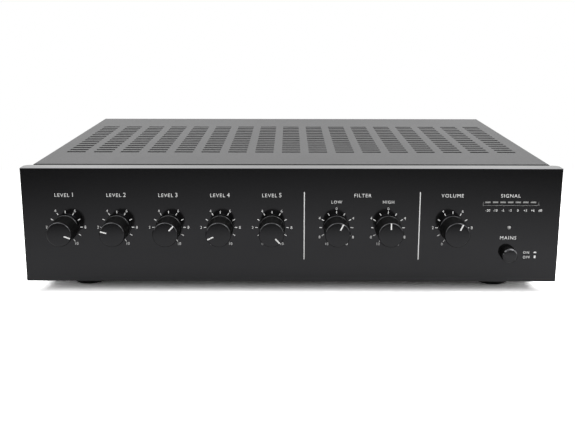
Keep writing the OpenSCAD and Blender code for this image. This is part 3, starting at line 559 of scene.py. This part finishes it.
def front_place(x, z, angle=0.0):
    """A place on the front panel's face, turned clockwise as seen from the front."""
    return Matrix.Translation((x, FRONT_Y, z)) @ Matrix.Rotation(angle, 4, "Y")


class Lettering:
    """Stamps raised print of one thickness onto a flat face, all of it in one bmesh."""

    def __init__(self, thickness, facing, spacing=1.0):
        self.mould = bmesh.new()
        self.thickness = thickness
        self.spacing = spacing
        self.facing = facing
        sample = self.letters("H", 1.0, "LEFT")
        self.cap_share = sample.dimensions.y
        bpy.data.objects.remove(sample)

    def letters(self, words, size, align):
        """A text object that is not yet a mesh."""
        curve = bpy.data.curves.new("letters", "FONT")
        curve.body = words
        curve.size = size
        curve.align_x = align
        curve.space_character = self.spacing
        curve.resolution_u = LETTER_STEPS
        curve.extrude = self.thickness
        made = bpy.data.objects.new("letters", curve)
        bpy.context.scene.collection.objects.link(made)
        bpy.context.view_layer.update()
        return made

    def stamp(self, words, cap, place, align="CENTER"):
        """Adds words of a cap height, standing on the place's point."""
        made = self.letters(words, cap / self.cap_share, align)
        mesh = bpy.data.meshes.new_from_object(made)
        mesh.transform(place @ self.facing)
        self.mould.from_mesh(mesh)
        bpy.data.objects.remove(made)
        bpy.data.meshes.remove(mesh)


FACING_FRONT = Matrix.Rotation(math.pi / 2, 4, "X")
FACING_REAR = Matrix.Rotation(math.pi, 4, "Z") @ FACING_FRONT


# Settings

def length(name, description, default):
    """A length in metres that a user may change."""
    return FloatProperty(
        name=name, description=description, default=default, min=0.0, unit="LENGTH", precision=5
    )


def colour(name, description, default):
    """A colour that a user may change."""
    return FloatVectorProperty(
        name=name, description=description, default=default, size=4, min=0.0, max=1.0, subtype="COLOR"
    )


def share(name, description, default):
    """A number from 0 to 1 that a user may change."""
    return FloatProperty(
        name=name, description=description, default=default, min=0.0, max=1.0, subtype="FACTOR"
    )


def amount(name, description, default):
    """A power or a brightness that a user may change."""
    return FloatProperty(name=name, description=description, default=default, min=0.0)


class AMPLIFIER_PG_finishes(bpy.types.PropertyGroup):
    """Colours and gloss of the surfaces"""

    panel_colour: colour("Panel", "Front panel paint", grey(0.0032))
    panel_roughness: share("Panel Roughness", "Roughness of the front panel paint", 0.11)
    cover_colour: colour("Cover", "Top cover paint", grey(0.019))
    cover_roughness: share("Cover Roughness", "Roughness of the top cover paint", 0.38)
    rear_colour: colour("Rear", "Rear panel paint", grey(0.015))
    rear_roughness: share("Rear Roughness", "Roughness of the rear panel paint", 0.5)
    knob_colour: colour("Knobs", "Knob moulding", grey(0.003))
    knob_roughness: share("Knob Roughness", "Roughness of the knobs and the button", 0.2)
    knob_rim: length("Knob Rim", "Glossy length behind a knob's face", 0.0008)
    knob_foot: length("Knob Foot", "Glossy length at a knob's foot", 0.0027)
    button_colour: colour("Button", "Power button moulding", grey(0.0077))
    button_rim: length("Button Rim", "Glossy length behind the power button's face", 0.0015)
    rubber_colour: colour("Rubber", "Rubber feet", grey(0.009))
    lens_colour: colour("Lenses", "Unlit lamp and meter lights", (0.30, 0.30, 0.295, 1.0))
    print_colour: colour("Print", "Printed scales and pointers", (0.80, 0.80, 0.79, 1.0))


class AMPLIFIER_PG_knobs(bpy.types.PropertyGroup):
    """Shape of the knobs and the power button"""

    skirt_height: length("Skirt Height", "Height of the skirt at a knob's foot", 0.0024)
    skirt_flare: length("Skirt Flare", "How far the skirt stands out of the barrel", 0.0005)
    shoulder: length("Shoulder", "Height of the slope above the skirt", 0.00065)
    corner: length("Corner", "Rounding of a knob's edges", 0.00008)
    chamfer: length("Chamfer", "Chamfer around a knob's face", 0.0007)
    crown: length("Crown", "How far the middle of a knob's face stands out of its rim", 0.0004)
    wall: length("Wall", "Thickness of a knob's wall", 0.0018)
    hollow: share("Hollow", "Depth of the hollow in a knob's foot, as a share of its height", 0.55)
    grip: share("Grip", "Depth of a knob's bore, as a share of its height", 0.65)
    hub_inset: length("Hub Inset", "From a knob's foot to the end of its hub", 0.0015)
    bore_gap: length("Bore Gap", "Gap between a knob and its shaft", 0.00002)
    pointer_width: length("Pointer Width", "Width of a pointer", 0.00135)
    pointer_start: length("Pointer Start", "From a knob's middle to its pointer", 0.0042)
    pointer_end: length("Pointer End", "From a knob's middle to its pointer's outer end", 0.0091)
    pointer_depth: length("Pointer Depth", "Depth of a pointer's inlay", 0.0004)
    pointer_proud: length("Pointer Proud", "How far a pointer stands out of the knob's face", 0.00008)
    button_chamfer: length("Button Chamfer", "Chamfer around the power button's face", 0.0010)
    button_crown: length("Button Crown", "How far the middle of the power button's face stands out", 0.0003)
    steps: IntProperty(name="Steps", description="Facets around a turned piece", default=96, min=24)


class AMPLIFIER_PG_feet(bpy.types.PropertyGroup):
    """Shape of the rubber feet"""

    top: length("Top", "Radius of a foot's top", 0.015)
    bottom: length("Bottom", "Radius of the face that a foot stands on", 0.013)
    recess: length("Recess", "Radius of the recess for the screw's head", 0.005)
    hole: length("Hole", "Radius of the screw's hole", 0.0022)
    corner: length("Corner", "Rounding of a foot's edges", 0.0009)


class AMPLIFIER_PG_print(bpy.types.PropertyGroup):
    """Sizes of the printed scales and legends"""

    thickness: length("Thickness", "Half the thickness of the print", 0.00003)
    tick_start: length("Tick Start", "From a dial's middle to its ticks", 0.0112)
    tick_end: length("Tick End", "From a dial's middle to its ticks' outer ends", 0.0132)
    tick_width: length("Tick Width", "Width of a tick", 0.0006)
    number_radius: length("Number Radius", "From a dial's middle to its numbers", 0.0152)
    number_cap: length("Number Height", "Height of the dial numbers", 0.0021)
    legend_cap: length("Legend Height", "Height of the legends", 0.0027)
    legend_row: length("Legend Row", "From the panel's foot to the legends", 0.0683)
    mains_row: length("Mains Row", "From the panel's foot to the button's legend", 0.0346)
    small_cap: length("Small Height", "Height of the smaller legends", 0.0023)
    small_row: length("Small Row", "From the panel's foot to the smaller legends", 0.0633)
    meter_cap: length("Meter Height", "Height of the meter's numbers", 0.0019)
    meter_row: length("Meter Row", "From the panel's foot to the meter's numbers", 0.0571)
    mark_cap: length("Mark Height", "Height of the words beside the button", 0.0020)
    mark_start: length("Mark Start", "From the button's middle to the words beside it", 0.0120)
    sign_middle: length("Sign Middle", "From the button's middle to the signs beside its words", 0.0214)
    rule_width: length("Rule Width", "Width of the dividing rules", 0.0007)
    rule_length: length("Rule Length", "Length of the dividing rules", 0.0544)
    rule_row: length("Rule Row", "From the panel's foot to the middle of the rules", 0.0453)
    bracket_line: length("Bracket Line", "Width of the lines of the meter's bracket", 0.00006)
    bracket_length: length("Bracket Length", "Length of the meter's bracket", 0.0430)
    bracket_height: length("Bracket Height", "Height of the bracket's ends", 0.0031)
    bracket_row: length("Bracket Row", "From the panel's foot to the meter's bracket", 0.0620)
    rear_lift: length("Rear Lift", "From the jacks' nuts to the rear numbers", 0.003)


class AMPLIFIER_PG_stage(bpy.types.PropertyGroup):
    """Camera and light"""

    eye: FloatVectorProperty(
        name="Eye", description="Where the camera stands",
        default=(-0.0014, -0.8289, 0.2257), unit="LENGTH",
    )
    aim: FloatVectorProperty(
        name="Aim", description="Pitch down, turn to the right and roll of the camera",
        default=(math.radians(13.328), math.radians(-0.125), math.radians(0.067)), subtype="EULER",
    )
    lens: FloatProperty(name="Lens", description="Focal length in millimetres", default=56.32, min=1.0)
    floor_colour: colour("Floor", "Colour of the floor", grey(0.5))
    floor_radius: length("Floor Radius", "Radius of the floor", 0.72)
    overhead: amount("Overhead", "Power of an overhead light in watts, before its share", 4.6)
    fill: amount("Fill", "Power of the front light in watts", 28.0)
    ambient: share("Ambient", "Level of the light from all around", 0.5)
    backdrop: amount("Backdrop", "Brightness of the background in reflections", 1.25)
    tent: amount("Tent", "Brightness of the light tent in reflections", 2.8)


# Operators

class AMPLIFIER_OT_finishes(bpy.types.Operator):
    """Give every node of the frame its finish"""

    bl_idname = "amplifier.finishes"
    bl_label = "Finishes"

    def execute(self, context):
        finishes = make_finishes(context.scene.amplifier_finishes)
        for subpart in frame["record"]["subparts"]:
            for holder in frame["nodes"][subpart["node"]].material_slots:
                holder.material = finishes[subpart["material_slot"]]
        return {"FINISHED"}


class AMPLIFIER_OT_knobs(bpy.types.Operator):
    """Turn the eight knobs over their shafts"""

    bl_idname = "amplifier.knobs"
    bl_label = "Knobs"

    def execute(self, context):
        shape = context.scene.amplifier_knobs
        for dial in DIALS:
            self.add_knob(dial, shape)
        return {"FINISHED"}

    def add_knob(self, dial, shape):
        """A hollow knob with a skirt at its foot and a hub that grips the shaft."""
        node = "knob_" + dial
        low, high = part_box(node)
        reach = high.y - low.y
        skirt = (high.x - low.x) / 2
        barrel = skirt - shape.skirt_flare
        shaft_low, shaft_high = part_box("shaft_" + dial)
        bore = (shaft_high.x - shaft_low.x) / 2 + shape.bore_gap
        hub = bore + shape.wall
        inside = barrel - shape.wall
        hollow = shape.hollow * reach
        grip = shape.grip * reach
        shoulder = shape.skirt_height + shape.shoulder
        peak = reach - shape.pointer_proud
        brow = peak - shape.crown
        rim = barrel - shape.chamfer
        profile = crowned_face(rim, peak, shape.crown, barrel, FACE_RINGS) + [
            (rim, brow, shape.corner), (barrel, brow - shape.chamfer, shape.corner),
            (barrel, shoulder, shape.corner), (skirt, shape.skirt_height, shape.corner),
            (skirt, 0, shape.corner), (inside, 0, shape.corner),
            (inside, hollow, shape.corner), (hub, hollow, shape.corner), (hub, shape.hub_inset, shape.corner),
            (bore, shape.hub_inset, 0), (bore, grip, 0), (0, grip, 0),
        ]
        add_turned(node, profile, shape.steps, "knob_plastic", "dial_" + dial)


class AMPLIFIER_OT_pointers(bpy.types.Operator):
    """Inlay a white pointer in each knob's face"""

    bl_idname = "amplifier.pointers"
    bl_label = "Pointers"

    def execute(self, context):
        shape = context.scene.amplifier_knobs
        thick = shape.pointer_depth + shape.pointer_proud
        run = shape.pointer_end - shape.pointer_start
        low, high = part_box("knob_master")
        barrel = (high.x - low.x) / 2 - shape.skirt_flare
        drops = [shape.crown * (radius / barrel) ** 2 for radius in (shape.pointer_start, shape.pointer_end)]
        fall = sum(drops) / 2
        lean = Matrix.Rotation(-math.atan2(drops[1] - drops[0], run), 4, "X")
        out = Matrix.Translation((0, thick / 2 + fall, shape.pointer_start + run / 2))
        size = (shape.pointer_width, thick, run)
        for dial in DIALS:
            middle = centre_of("knob_" + dial)
            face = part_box("knob_" + dial)[0].y
            turn = Matrix.Rotation(rest_angle(dial), 4, "Y")
            mould = bmesh.new()
            add_bar(mould, size, Matrix.Translation((middle.x, face, middle.z)) @ turn @ out @ lean)
            uprights = [
                edge for edge in mould.edges
                if abs(edge.verts[0].co.y - edge.verts[1].co.y) > shape.pointer_depth / 2
            ]
            bmesh.ops.bevel(
                mould, geom=uprights, offset=shape.pointer_width / 4, segments=3, profile=0.5,
                affect="EDGES", material=-1,
            )
            add_piece("pointer_" + dial, mould, "print", "dial_" + dial)
        return {"FINISHED"}


class AMPLIFIER_OT_power_button(bpy.types.Operator):
    """Turn the power button"""

    bl_idname = "amplifier.power_button"
    bl_label = "Power Button"

    def execute(self, context):
        shape = context.scene.amplifier_knobs
        low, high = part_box("power_button")
        plunger_low, plunger_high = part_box("switch_plunger")
        radius = (high.x - low.x) / 2
        socket = (plunger_high - plunger_low).x * math.sqrt(0.5)
        reach = high.y - low.y
        depth = high.y - plunger_low.y
        rim = radius - shape.button_chamfer
        brow = reach - shape.button_crown
        profile = crowned_face(rim, reach, shape.button_crown, rim, BUTTON_RINGS) + [
            (rim, brow, shape.corner), (radius, brow - shape.button_chamfer, shape.corner),
            (radius, 0, shape.corner), (socket, 0, shape.corner),
            (socket, depth, 0), (0, depth, 0),
        ]
        add_turned("power_button", profile, shape.steps, "button_plastic", "button")
        return {"FINISHED"}


class AMPLIFIER_OT_feet(bpy.types.Operator):
    """Turn the four rubber feet"""

    bl_idname = "amplifier.feet"
    bl_label = "Rubber Feet"

    def execute(self, context):
        shape = context.scene.amplifier_feet
        steps = context.scene.amplifier_knobs.steps
        low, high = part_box("rubber_feet")
        tall = high.z
        profile = (
            (shape.recess, 0, shape.corner), (shape.bottom, 0, shape.corner), (shape.top, tall, shape.corner),
            (shape.hole, tall, 0), (shape.hole, tall / 2, 0), (shape.recess, tall / 2, shape.corner),
        )
        feet = bmesh.new()
        for x in (low.x + shape.top, high.x - shape.top):
            for y in (low.y + shape.top, high.y - shape.top):
                foot = turned(profile, Vector((0, 0, 1)), steps)
                move(foot, (x, y, 0))
                mesh = bpy.data.meshes.new("foot")
                foot.to_mesh(mesh)
                foot.free()
                feet.from_mesh(mesh)
                bpy.data.meshes.remove(mesh)
        add_piece("turned_rubber_feet", feet, "rubber", CABINET, ["rubber_feet"], True)
        return {"FINISHED"}


class AMPLIFIER_OT_scales(bpy.types.Operator):
    """Print the ticks around the dials"""

    bl_idname = "amplifier.scales"
    bl_label = "Scales"

    def execute(self, context):
        ink = context.scene.amplifier_print
        mould = bmesh.new()
        size = (ink.tick_width, 2 * ink.thickness, ink.tick_end - ink.tick_start)
        out = Matrix.Translation((0, 0, (ink.tick_start + ink.tick_end) / 2))
        for dial in DIALS:
            middle = centre_of("knob_" + dial)
            for degrees in range(-DIAL_SWEEP, DIAL_SWEEP + 1, TICK_STEP):
                angle = math.radians(degrees)
                add_bar(mould, size, front_place(middle.x, middle.z, angle) @ out)
        add_piece("scale_ticks", mould, "print", CABINET)
        return {"FINISHED"}


class AMPLIFIER_OT_numbers(bpy.types.Operator):
    """Print the numbers around the dials"""

    bl_idname = "amplifier.numbers"
    bl_label = "Dial Numbers"

    def execute(self, context):
        ink = context.scene.amplifier_print
        print_run = Lettering(ink.thickness, FACING_FRONT)
        level_numbers = {2 * TICK_STEP * step - DIAL_SWEEP: str(2 * step) for step in range(6)}
        tone_numbers = {0: "0", 60: "4", 120: "8", 150: "10", -60: "4", -120: "8", -150: "10"}
        for dial in DIALS:
            middle = centre_of("knob_" + dial)
            for degrees, number in (tone_numbers if dial in TONE_DIALS else level_numbers).items():
                angle = math.radians(degrees)
                x = middle.x + ink.number_radius * math.sin(angle)
                z = middle.z + ink.number_radius * math.cos(angle) - ink.number_cap / 2
                print_run.stamp(number, ink.number_cap, front_place(x, z))
        add_piece("dial_numbers", print_run.mould, "print", CABINET)
        return {"FINISHED"}


class AMPLIFIER_OT_legends(bpy.types.Operator):
    """Print the plain legends above the dials, the meter and the button"""

    bl_idname = "amplifier.legends"
    bl_label = "Legends"

    def execute(self, context):
        ink = context.scene.amplifier_print
        print_run = Lettering(ink.thickness, FACING_FRONT, 1.2)
        row = PANEL_BASE + ink.legend_row
        small_row = PANEL_BASE + ink.small_row
        word_end = 0.0040
        count_start = 0.0053
        count_cap = 1.2 * ink.legend_cap
        for count, dial in enumerate(INPUT_DIALS, 1):
            x = centre_of("knob_" + dial).x
            print_run.stamp("LEVEL", ink.legend_cap, front_place(x + word_end, row), "RIGHT")
            print_run.stamp(str(count), count_cap, front_place(x + count_start, row), "LEFT")
        bass, treble = (centre_of("knob_" + dial).x for dial in TONE_DIALS)
        print_run.stamp("FILTER", ink.legend_cap, front_place((bass + treble) / 2, row))
        for words, x in (("LOW", bass), ("HIGH", treble)):
            print_run.stamp(words, ink.small_cap, front_place(x, small_row))
        for words, node, shift in (("VOLUME", "knob_master", -0.0007), ("SIGNAL", "meter_lights", -0.0002)):
            print_run.stamp(words, ink.legend_cap, front_place(centre_of(node).x + shift, row))
        button = centre_of("power_button")
        mains_x = button.x - 0.0004
        print_run.stamp("MAINS", ink.legend_cap, front_place(mains_x, PANEL_BASE + ink.mains_row))
        for words, lift in (("ON", -0.0002), ("OFF", -0.0041)):
            place = front_place(button.x + ink.mark_start, button.z + lift)
            print_run.stamp(words, ink.mark_cap, place, "LEFT")
        add_piece("legends", print_run.mould, "print", CABINET)
        return {"FINISHED"}


class AMPLIFIER_OT_meter_scale(bpy.types.Operator):
    """Print the meter's numbers under its lights"""

    bl_idname = "amplifier.meter_scale"
    bl_label = "Meter Scale"

    def execute(self, context):
        ink = context.scene.amplifier_print
        print_run = Lettering(ink.thickness, FACING_FRONT)
        low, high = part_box("meter_lights")
        marks = ("-20", "-10", "-6", "-3", "0", "+3", "+6", "dB")
        lights = 7
        gap = 0.0013
        first = 0.0023
        pitch = (high.x - low.x + gap) / lights
        for count, mark in enumerate(marks):
            x = low.x + first + count * pitch
            print_run.stamp(mark, ink.meter_cap, front_place(x, PANEL_BASE + ink.meter_row))
        add_piece("meter_scale", print_run.mould, "print", CABINET)
        return {"FINISHED"}


class AMPLIFIER_OT_rules(bpy.types.Operator):
    """Print the dividing rules, the meter's bracket and the marks beside the button"""

    bl_idname = "amplifier.rules"
    bl_label = "Rules and Marks"

    def execute(self, context):
        ink = context.scene.amplifier_print
        mould = bmesh.new()
        deep = 2 * ink.thickness
        for left, right, part in (("input_5", "bass", 0.5), ("treble", "master", 0.486)):
            x = centre_of("knob_" + left).lerp(centre_of("knob_" + right), part).x
            place = front_place(x, PANEL_BASE + ink.rule_row)
            add_bar(mould, (ink.rule_width, deep, ink.rule_length), place)
        bracket_shift = 0.0003
        middle = centre_of("meter_lights").x + bracket_shift
        base = PANEL_BASE + ink.bracket_row
        end_rise = 0.00135
        add_bar(mould, (ink.bracket_length, deep, ink.bracket_line), front_place(middle, base))
        for x in (middle - ink.bracket_length / 2, middle + ink.bracket_length / 2):
            place = front_place(x, base + end_rise)
            add_bar(mould, (ink.bracket_line, deep, ink.bracket_height), place)
        self.add_button_marks(mould, deep, ink.sign_middle)
        add_piece("panel_rules", mould, "print", CABINET)
        return {"FINISHED"}

    def add_button_marks(self, mould, deep, aside):
        """A low dome beside ON and a block beside OFF."""
        button = centre_of("power_button")
        x = button.x + aside
        block_middle = button.z - 0.0028
        dome_foot = button.z + 0.0003
        block_size = (0.0014, deep, 0.0021)
        dome_radius = 0.0012
        add_bar(mould, block_size, front_place(x, block_middle))
        place = front_place(x, dome_foot) @ FACING_FRONT
        disc = bmesh.ops.create_cone(
            mould, cap_ends=True, segments=32, radius1=dome_radius, radius2=dome_radius, depth=deep,
            matrix=place,
        )["verts"]
        edges = dict.fromkeys(edge for vert in disc for edge in vert.link_edges)
        faces = dict.fromkeys(face for vert in disc for face in vert.link_faces)
        halved = bmesh.ops.bisect_plane(
            mould, geom=[*disc, *edges, *faces], plane_co=place.translation, plane_no=(0, 0, -1),
            clear_outer=True,
        )
        cut = [part for part in halved["geom_cut"] if isinstance(part, bmesh.types.BMEdge)]
        bmesh.ops.edgeloop_fill(mould, edges=cut)


class AMPLIFIER_OT_rear_marks(bpy.types.Operator):
    """Print plain numbers above the rear jacks"""

    bl_idname = "amplifier.rear_marks"
    bl_label = "Rear Numbers"

    def execute(self, context):
        ink = context.scene.amplifier_print
        print_run = Lettering(ink.thickness, FACING_REAR)
        low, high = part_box("jack_nuts")
        radius = (high.z - low.z) / 2
        jacks = len(INPUT_DIALS)
        pitch = (high.x - low.x - 2 * radius) / (jacks - 1)
        for count in range(jacks):
            x = low.x + radius + count * pitch
            place = Matrix.Translation((x, REAR_Y, high.z + ink.rear_lift))
            print_run.stamp(str(count + 1), ink.legend_cap, place)
        add_piece("rear_numbers", print_run.mould, "print", CABINET)
        return {"FINISHED"}


class AMPLIFIER_OT_stage(bpy.types.Operator):
    """Set the floor, the lights, the surroundings and the camera"""

    bl_idname = "amplifier.stage"
    bl_label = "Stage"

    def execute(self, context):
        stage = context.scene.amplifier_stage
        context.scene.view_settings.view_transform = "Standard"
        self.add_floor(stage)
        overhead_size = (0.45, 0.8)
        overhead_y = -0.15
        overhead_z = 0.6
        for side, x, part in (("left", -0.44, 0.8), ("right", 0.5, 1.25)):
            place = (x, overhead_y, overhead_z)
            below = (x, overhead_y, 0)
            self.add_light("overhead_" + side, part * stage.overhead, overhead_size, place, below)
        fill_size = (2.0, 1.2)
        fill_place = (0.35, -2.0, 1.22)
        panel_middle = (0, -0.14, 0.05)
        self.add_light("front_fill", stage.fill, fill_size, fill_place, panel_middle)
        self.set_surroundings(stage)
        self.add_camera(context, stage)
        return {"FINISHED"}

    def add_floor(self, stage):
        """A round floor that fades to white for the camera, and is greyer where it lights the part; further out
        that grey is painted darker, a painted shade of light falling off.
        """
        under_feet = -0.00005
        mould = bmesh.new()
        bmesh.ops.create_circle(mould, cap_ends=True, segments=96, radius=stage.floor_radius)
        move(mould, (0, 0, under_feet))
        floor = add_object("floor", mould)
        material, nodes = new_finish("floor")
        seen = nodes.node("ShaderNodeLightPath", output="Is Camera Ray")
        away = nodes.node("ShaderNodeVectorMath", {"operation": "LENGTH"}, {0: nodes.place()}, "Value")
        fade = nodes.ramp(away, ((0.34, 0.0), (0.56, 1.0)))
        # painted shade: the floor's colour darkens away from the middle, standing in for light that falls off with
        # distance
        painted_falloff = nodes.ramp(away, ((0.35, 0.0), (0.67, 1.0)))
        painted_shade_colour = grey(0.16)
        shown_colour = grey(2.1)
        tone = nodes.mix(painted_falloff, stage.floor_colour, painted_shade_colour)
        plain = nodes.node("ShaderNodeBsdfDiffuse", values={"Color": tone})
        bright = nodes.node("ShaderNodeBsdfDiffuse", values={"Color": shown_colour})
        white = nodes.node("ShaderNodeEmission", values={"Color": grey(1.0), "Strength": 1.0})
        shown = nodes.node("ShaderNodeMixShader", values={0: fade, 1: bright, 2: white})
        nodes.output(nodes.node("ShaderNodeMixShader", values={0: seen, 1: plain, 2: shown}))
        floor.data.materials.append(material)

    def add_light(self, name, power, size, place, target):
        """A soft rectangular light that the camera doesn't see."""
        lamp = bpy.data.lights.new(name, "AREA")
        lamp.shape = "RECTANGLE"
        lamp.size, lamp.size_y = size
        lamp.energy = power
        light = bpy.data.objects.new(name, lamp)
        light.location = place
        light.rotation_mode = "QUATERNION"
        light.rotation_quaternion = (Vector(target) - Vector(place)).to_track_quat("-Z", "Y")
        light.visible_camera = False
        bpy.context.scene.collection.objects.link(light)

    def set_surroundings(self, stage):
        """White for the camera, a backdrop and a light tent in reflections, and soft light from above."""
        world = bpy.data.worlds.new("surroundings")
        world.use_nodes = True
        bpy.context.scene.world = world
        nodes = Nodes(world.node_tree)
        seen = nodes.node("ShaderNodeLightPath", output="Is Camera Ray")
        glossy = nodes.node("ShaderNodeLightPath", output="Is Glossy Ray")
        through = nodes.node("ShaderNodeLightPath", output="Is Transmission Ray")
        mirrored = nodes.node("ShaderNodeMath", {"operation": "MAXIMUM"}, {0: glossy, 1: through})
        direction = nodes.node("ShaderNodeTexCoord", output="Generated")
        depth = 0.5 + 0.5 * nodes.node("ShaderNodeSeparateXYZ", values={0: direction}, output="Y")
        height = nodes.node("ShaderNodeSeparateXYZ", values={0: direction}, output="Z")
        backdrop_stops = ((0.40, 0.10), (0.62, 0.5), (0.95, 0.6), (0.98, 1.1), (0.999, 0.78))
        behind = stage.backdrop * nodes.ramp(depth, backdrop_stops)
        beside = nodes.ramp(depth, ((0.26, 0.0), (0.34, 1.0), (0.57, 1.0), (0.62, 0.0)))
        tent = stage.tent * beside * nodes.ramp(height, ((0.0, 0.0), (0.08, 1.0)))
        overhead = nodes.ramp(height, ((0.0, 0.25), (0.8, 1.0)))
        dim = mirrored * (behind + tent) + (1 - mirrored) * overhead * stage.ambient
        strength = seen + (1 - seen) * dim
        glow = nodes.node("ShaderNodeBackground", values={"Color": grey(1.0), "Strength": strength})
        nodes.node("ShaderNodeOutputWorld", values={"Surface": glow})

    def add_camera(self, context, stage):
        """The camera at the photograph's viewing angle."""
        pitch, turn, roll = stage.aim
        ahead = Vector((math.sin(turn) * math.cos(pitch), math.cos(turn) * math.cos(pitch), -math.sin(pitch)))
        level = Vector((math.cos(turn), -math.sin(turn), 0))
        upright = level.cross(ahead)
        right = level * math.cos(roll) + upright * math.sin(roll)
        up = upright * math.cos(roll) - level * math.sin(roll)
        place = Matrix((right, up, -ahead)).transposed().to_4x4()
        place.translation = stage.eye
        lens = bpy.data.cameras.new("camera")
        lens.sensor_width = 36.0
        lens.lens = stage.lens
        lens.clip_start = 0.01
        camera = bpy.data.objects.new("camera", lens)
        bpy.context.scene.collection.objects.link(camera)
        camera.matrix_world = place
        context.scene.camera = camera


OPERATORS = (
    AMPLIFIER_OT_finishes, AMPLIFIER_OT_knobs, AMPLIFIER_OT_pointers, AMPLIFIER_OT_power_button,
    AMPLIFIER_OT_feet, AMPLIFIER_OT_scales, AMPLIFIER_OT_numbers, AMPLIFIER_OT_legends,
    AMPLIFIER_OT_meter_scale, AMPLIFIER_OT_rules, AMPLIFIER_OT_rear_marks, AMPLIFIER_OT_stage,
)


class AMPLIFIER_PT_tools(bpy.types.Panel):
    """Lists the steps that dress the amplifier"""

    bl_idname = "AMPLIFIER_PT_tools"
    bl_label = "Amplifier"
    bl_space_type = "VIEW_3D"
    bl_region_type = "UI"
    bl_category = "Amplifier"

    def draw(self, context):
        for operator in OPERATORS:
            self.layout.operator(operator.bl_idname)


GROUPS = {
    "amplifier_finishes": AMPLIFIER_PG_finishes,
    "amplifier_knobs": AMPLIFIER_PG_knobs,
    "amplifier_feet": AMPLIFIER_PG_feet,
    "amplifier_print": AMPLIFIER_PG_print,
    "amplifier_stage": AMPLIFIER_PG_stage,
}


def register():
    for name, group in GROUPS.items():
        bpy.utils.register_class(group)
        setattr(bpy.types.Scene, name, PointerProperty(type=group))
    for operator in OPERATORS:
        bpy.utils.register_class(operator)
    bpy.utils.register_class(AMPLIFIER_PT_tools)


def unregister():
    bpy.utils.unregister_class(AMPLIFIER_PT_tools)
    for operator in reversed(OPERATORS):
        bpy.utils.unregister_class(operator)
    for name, group in reversed(GROUPS.items()):
        delattr(bpy.types.Scene, name)
        bpy.utils.unregister_class(group)


def main():
    register()
    bpy.ops.amplifier.finishes()
    bpy.ops.amplifier.knobs()
    bpy.ops.amplifier.pointers()
    bpy.ops.amplifier.power_button()
    bpy.ops.amplifier.feet()
    bpy.ops.amplifier.scales()
    bpy.ops.amplifier.numbers()
    bpy.ops.amplifier.legends()
    bpy.ops.amplifier.meter_scale()
    bpy.ops.amplifier.rules()
    bpy.ops.amplifier.rear_marks()
    bpy.ops.amplifier.stage()


if __name__ == "__main__":
    main()
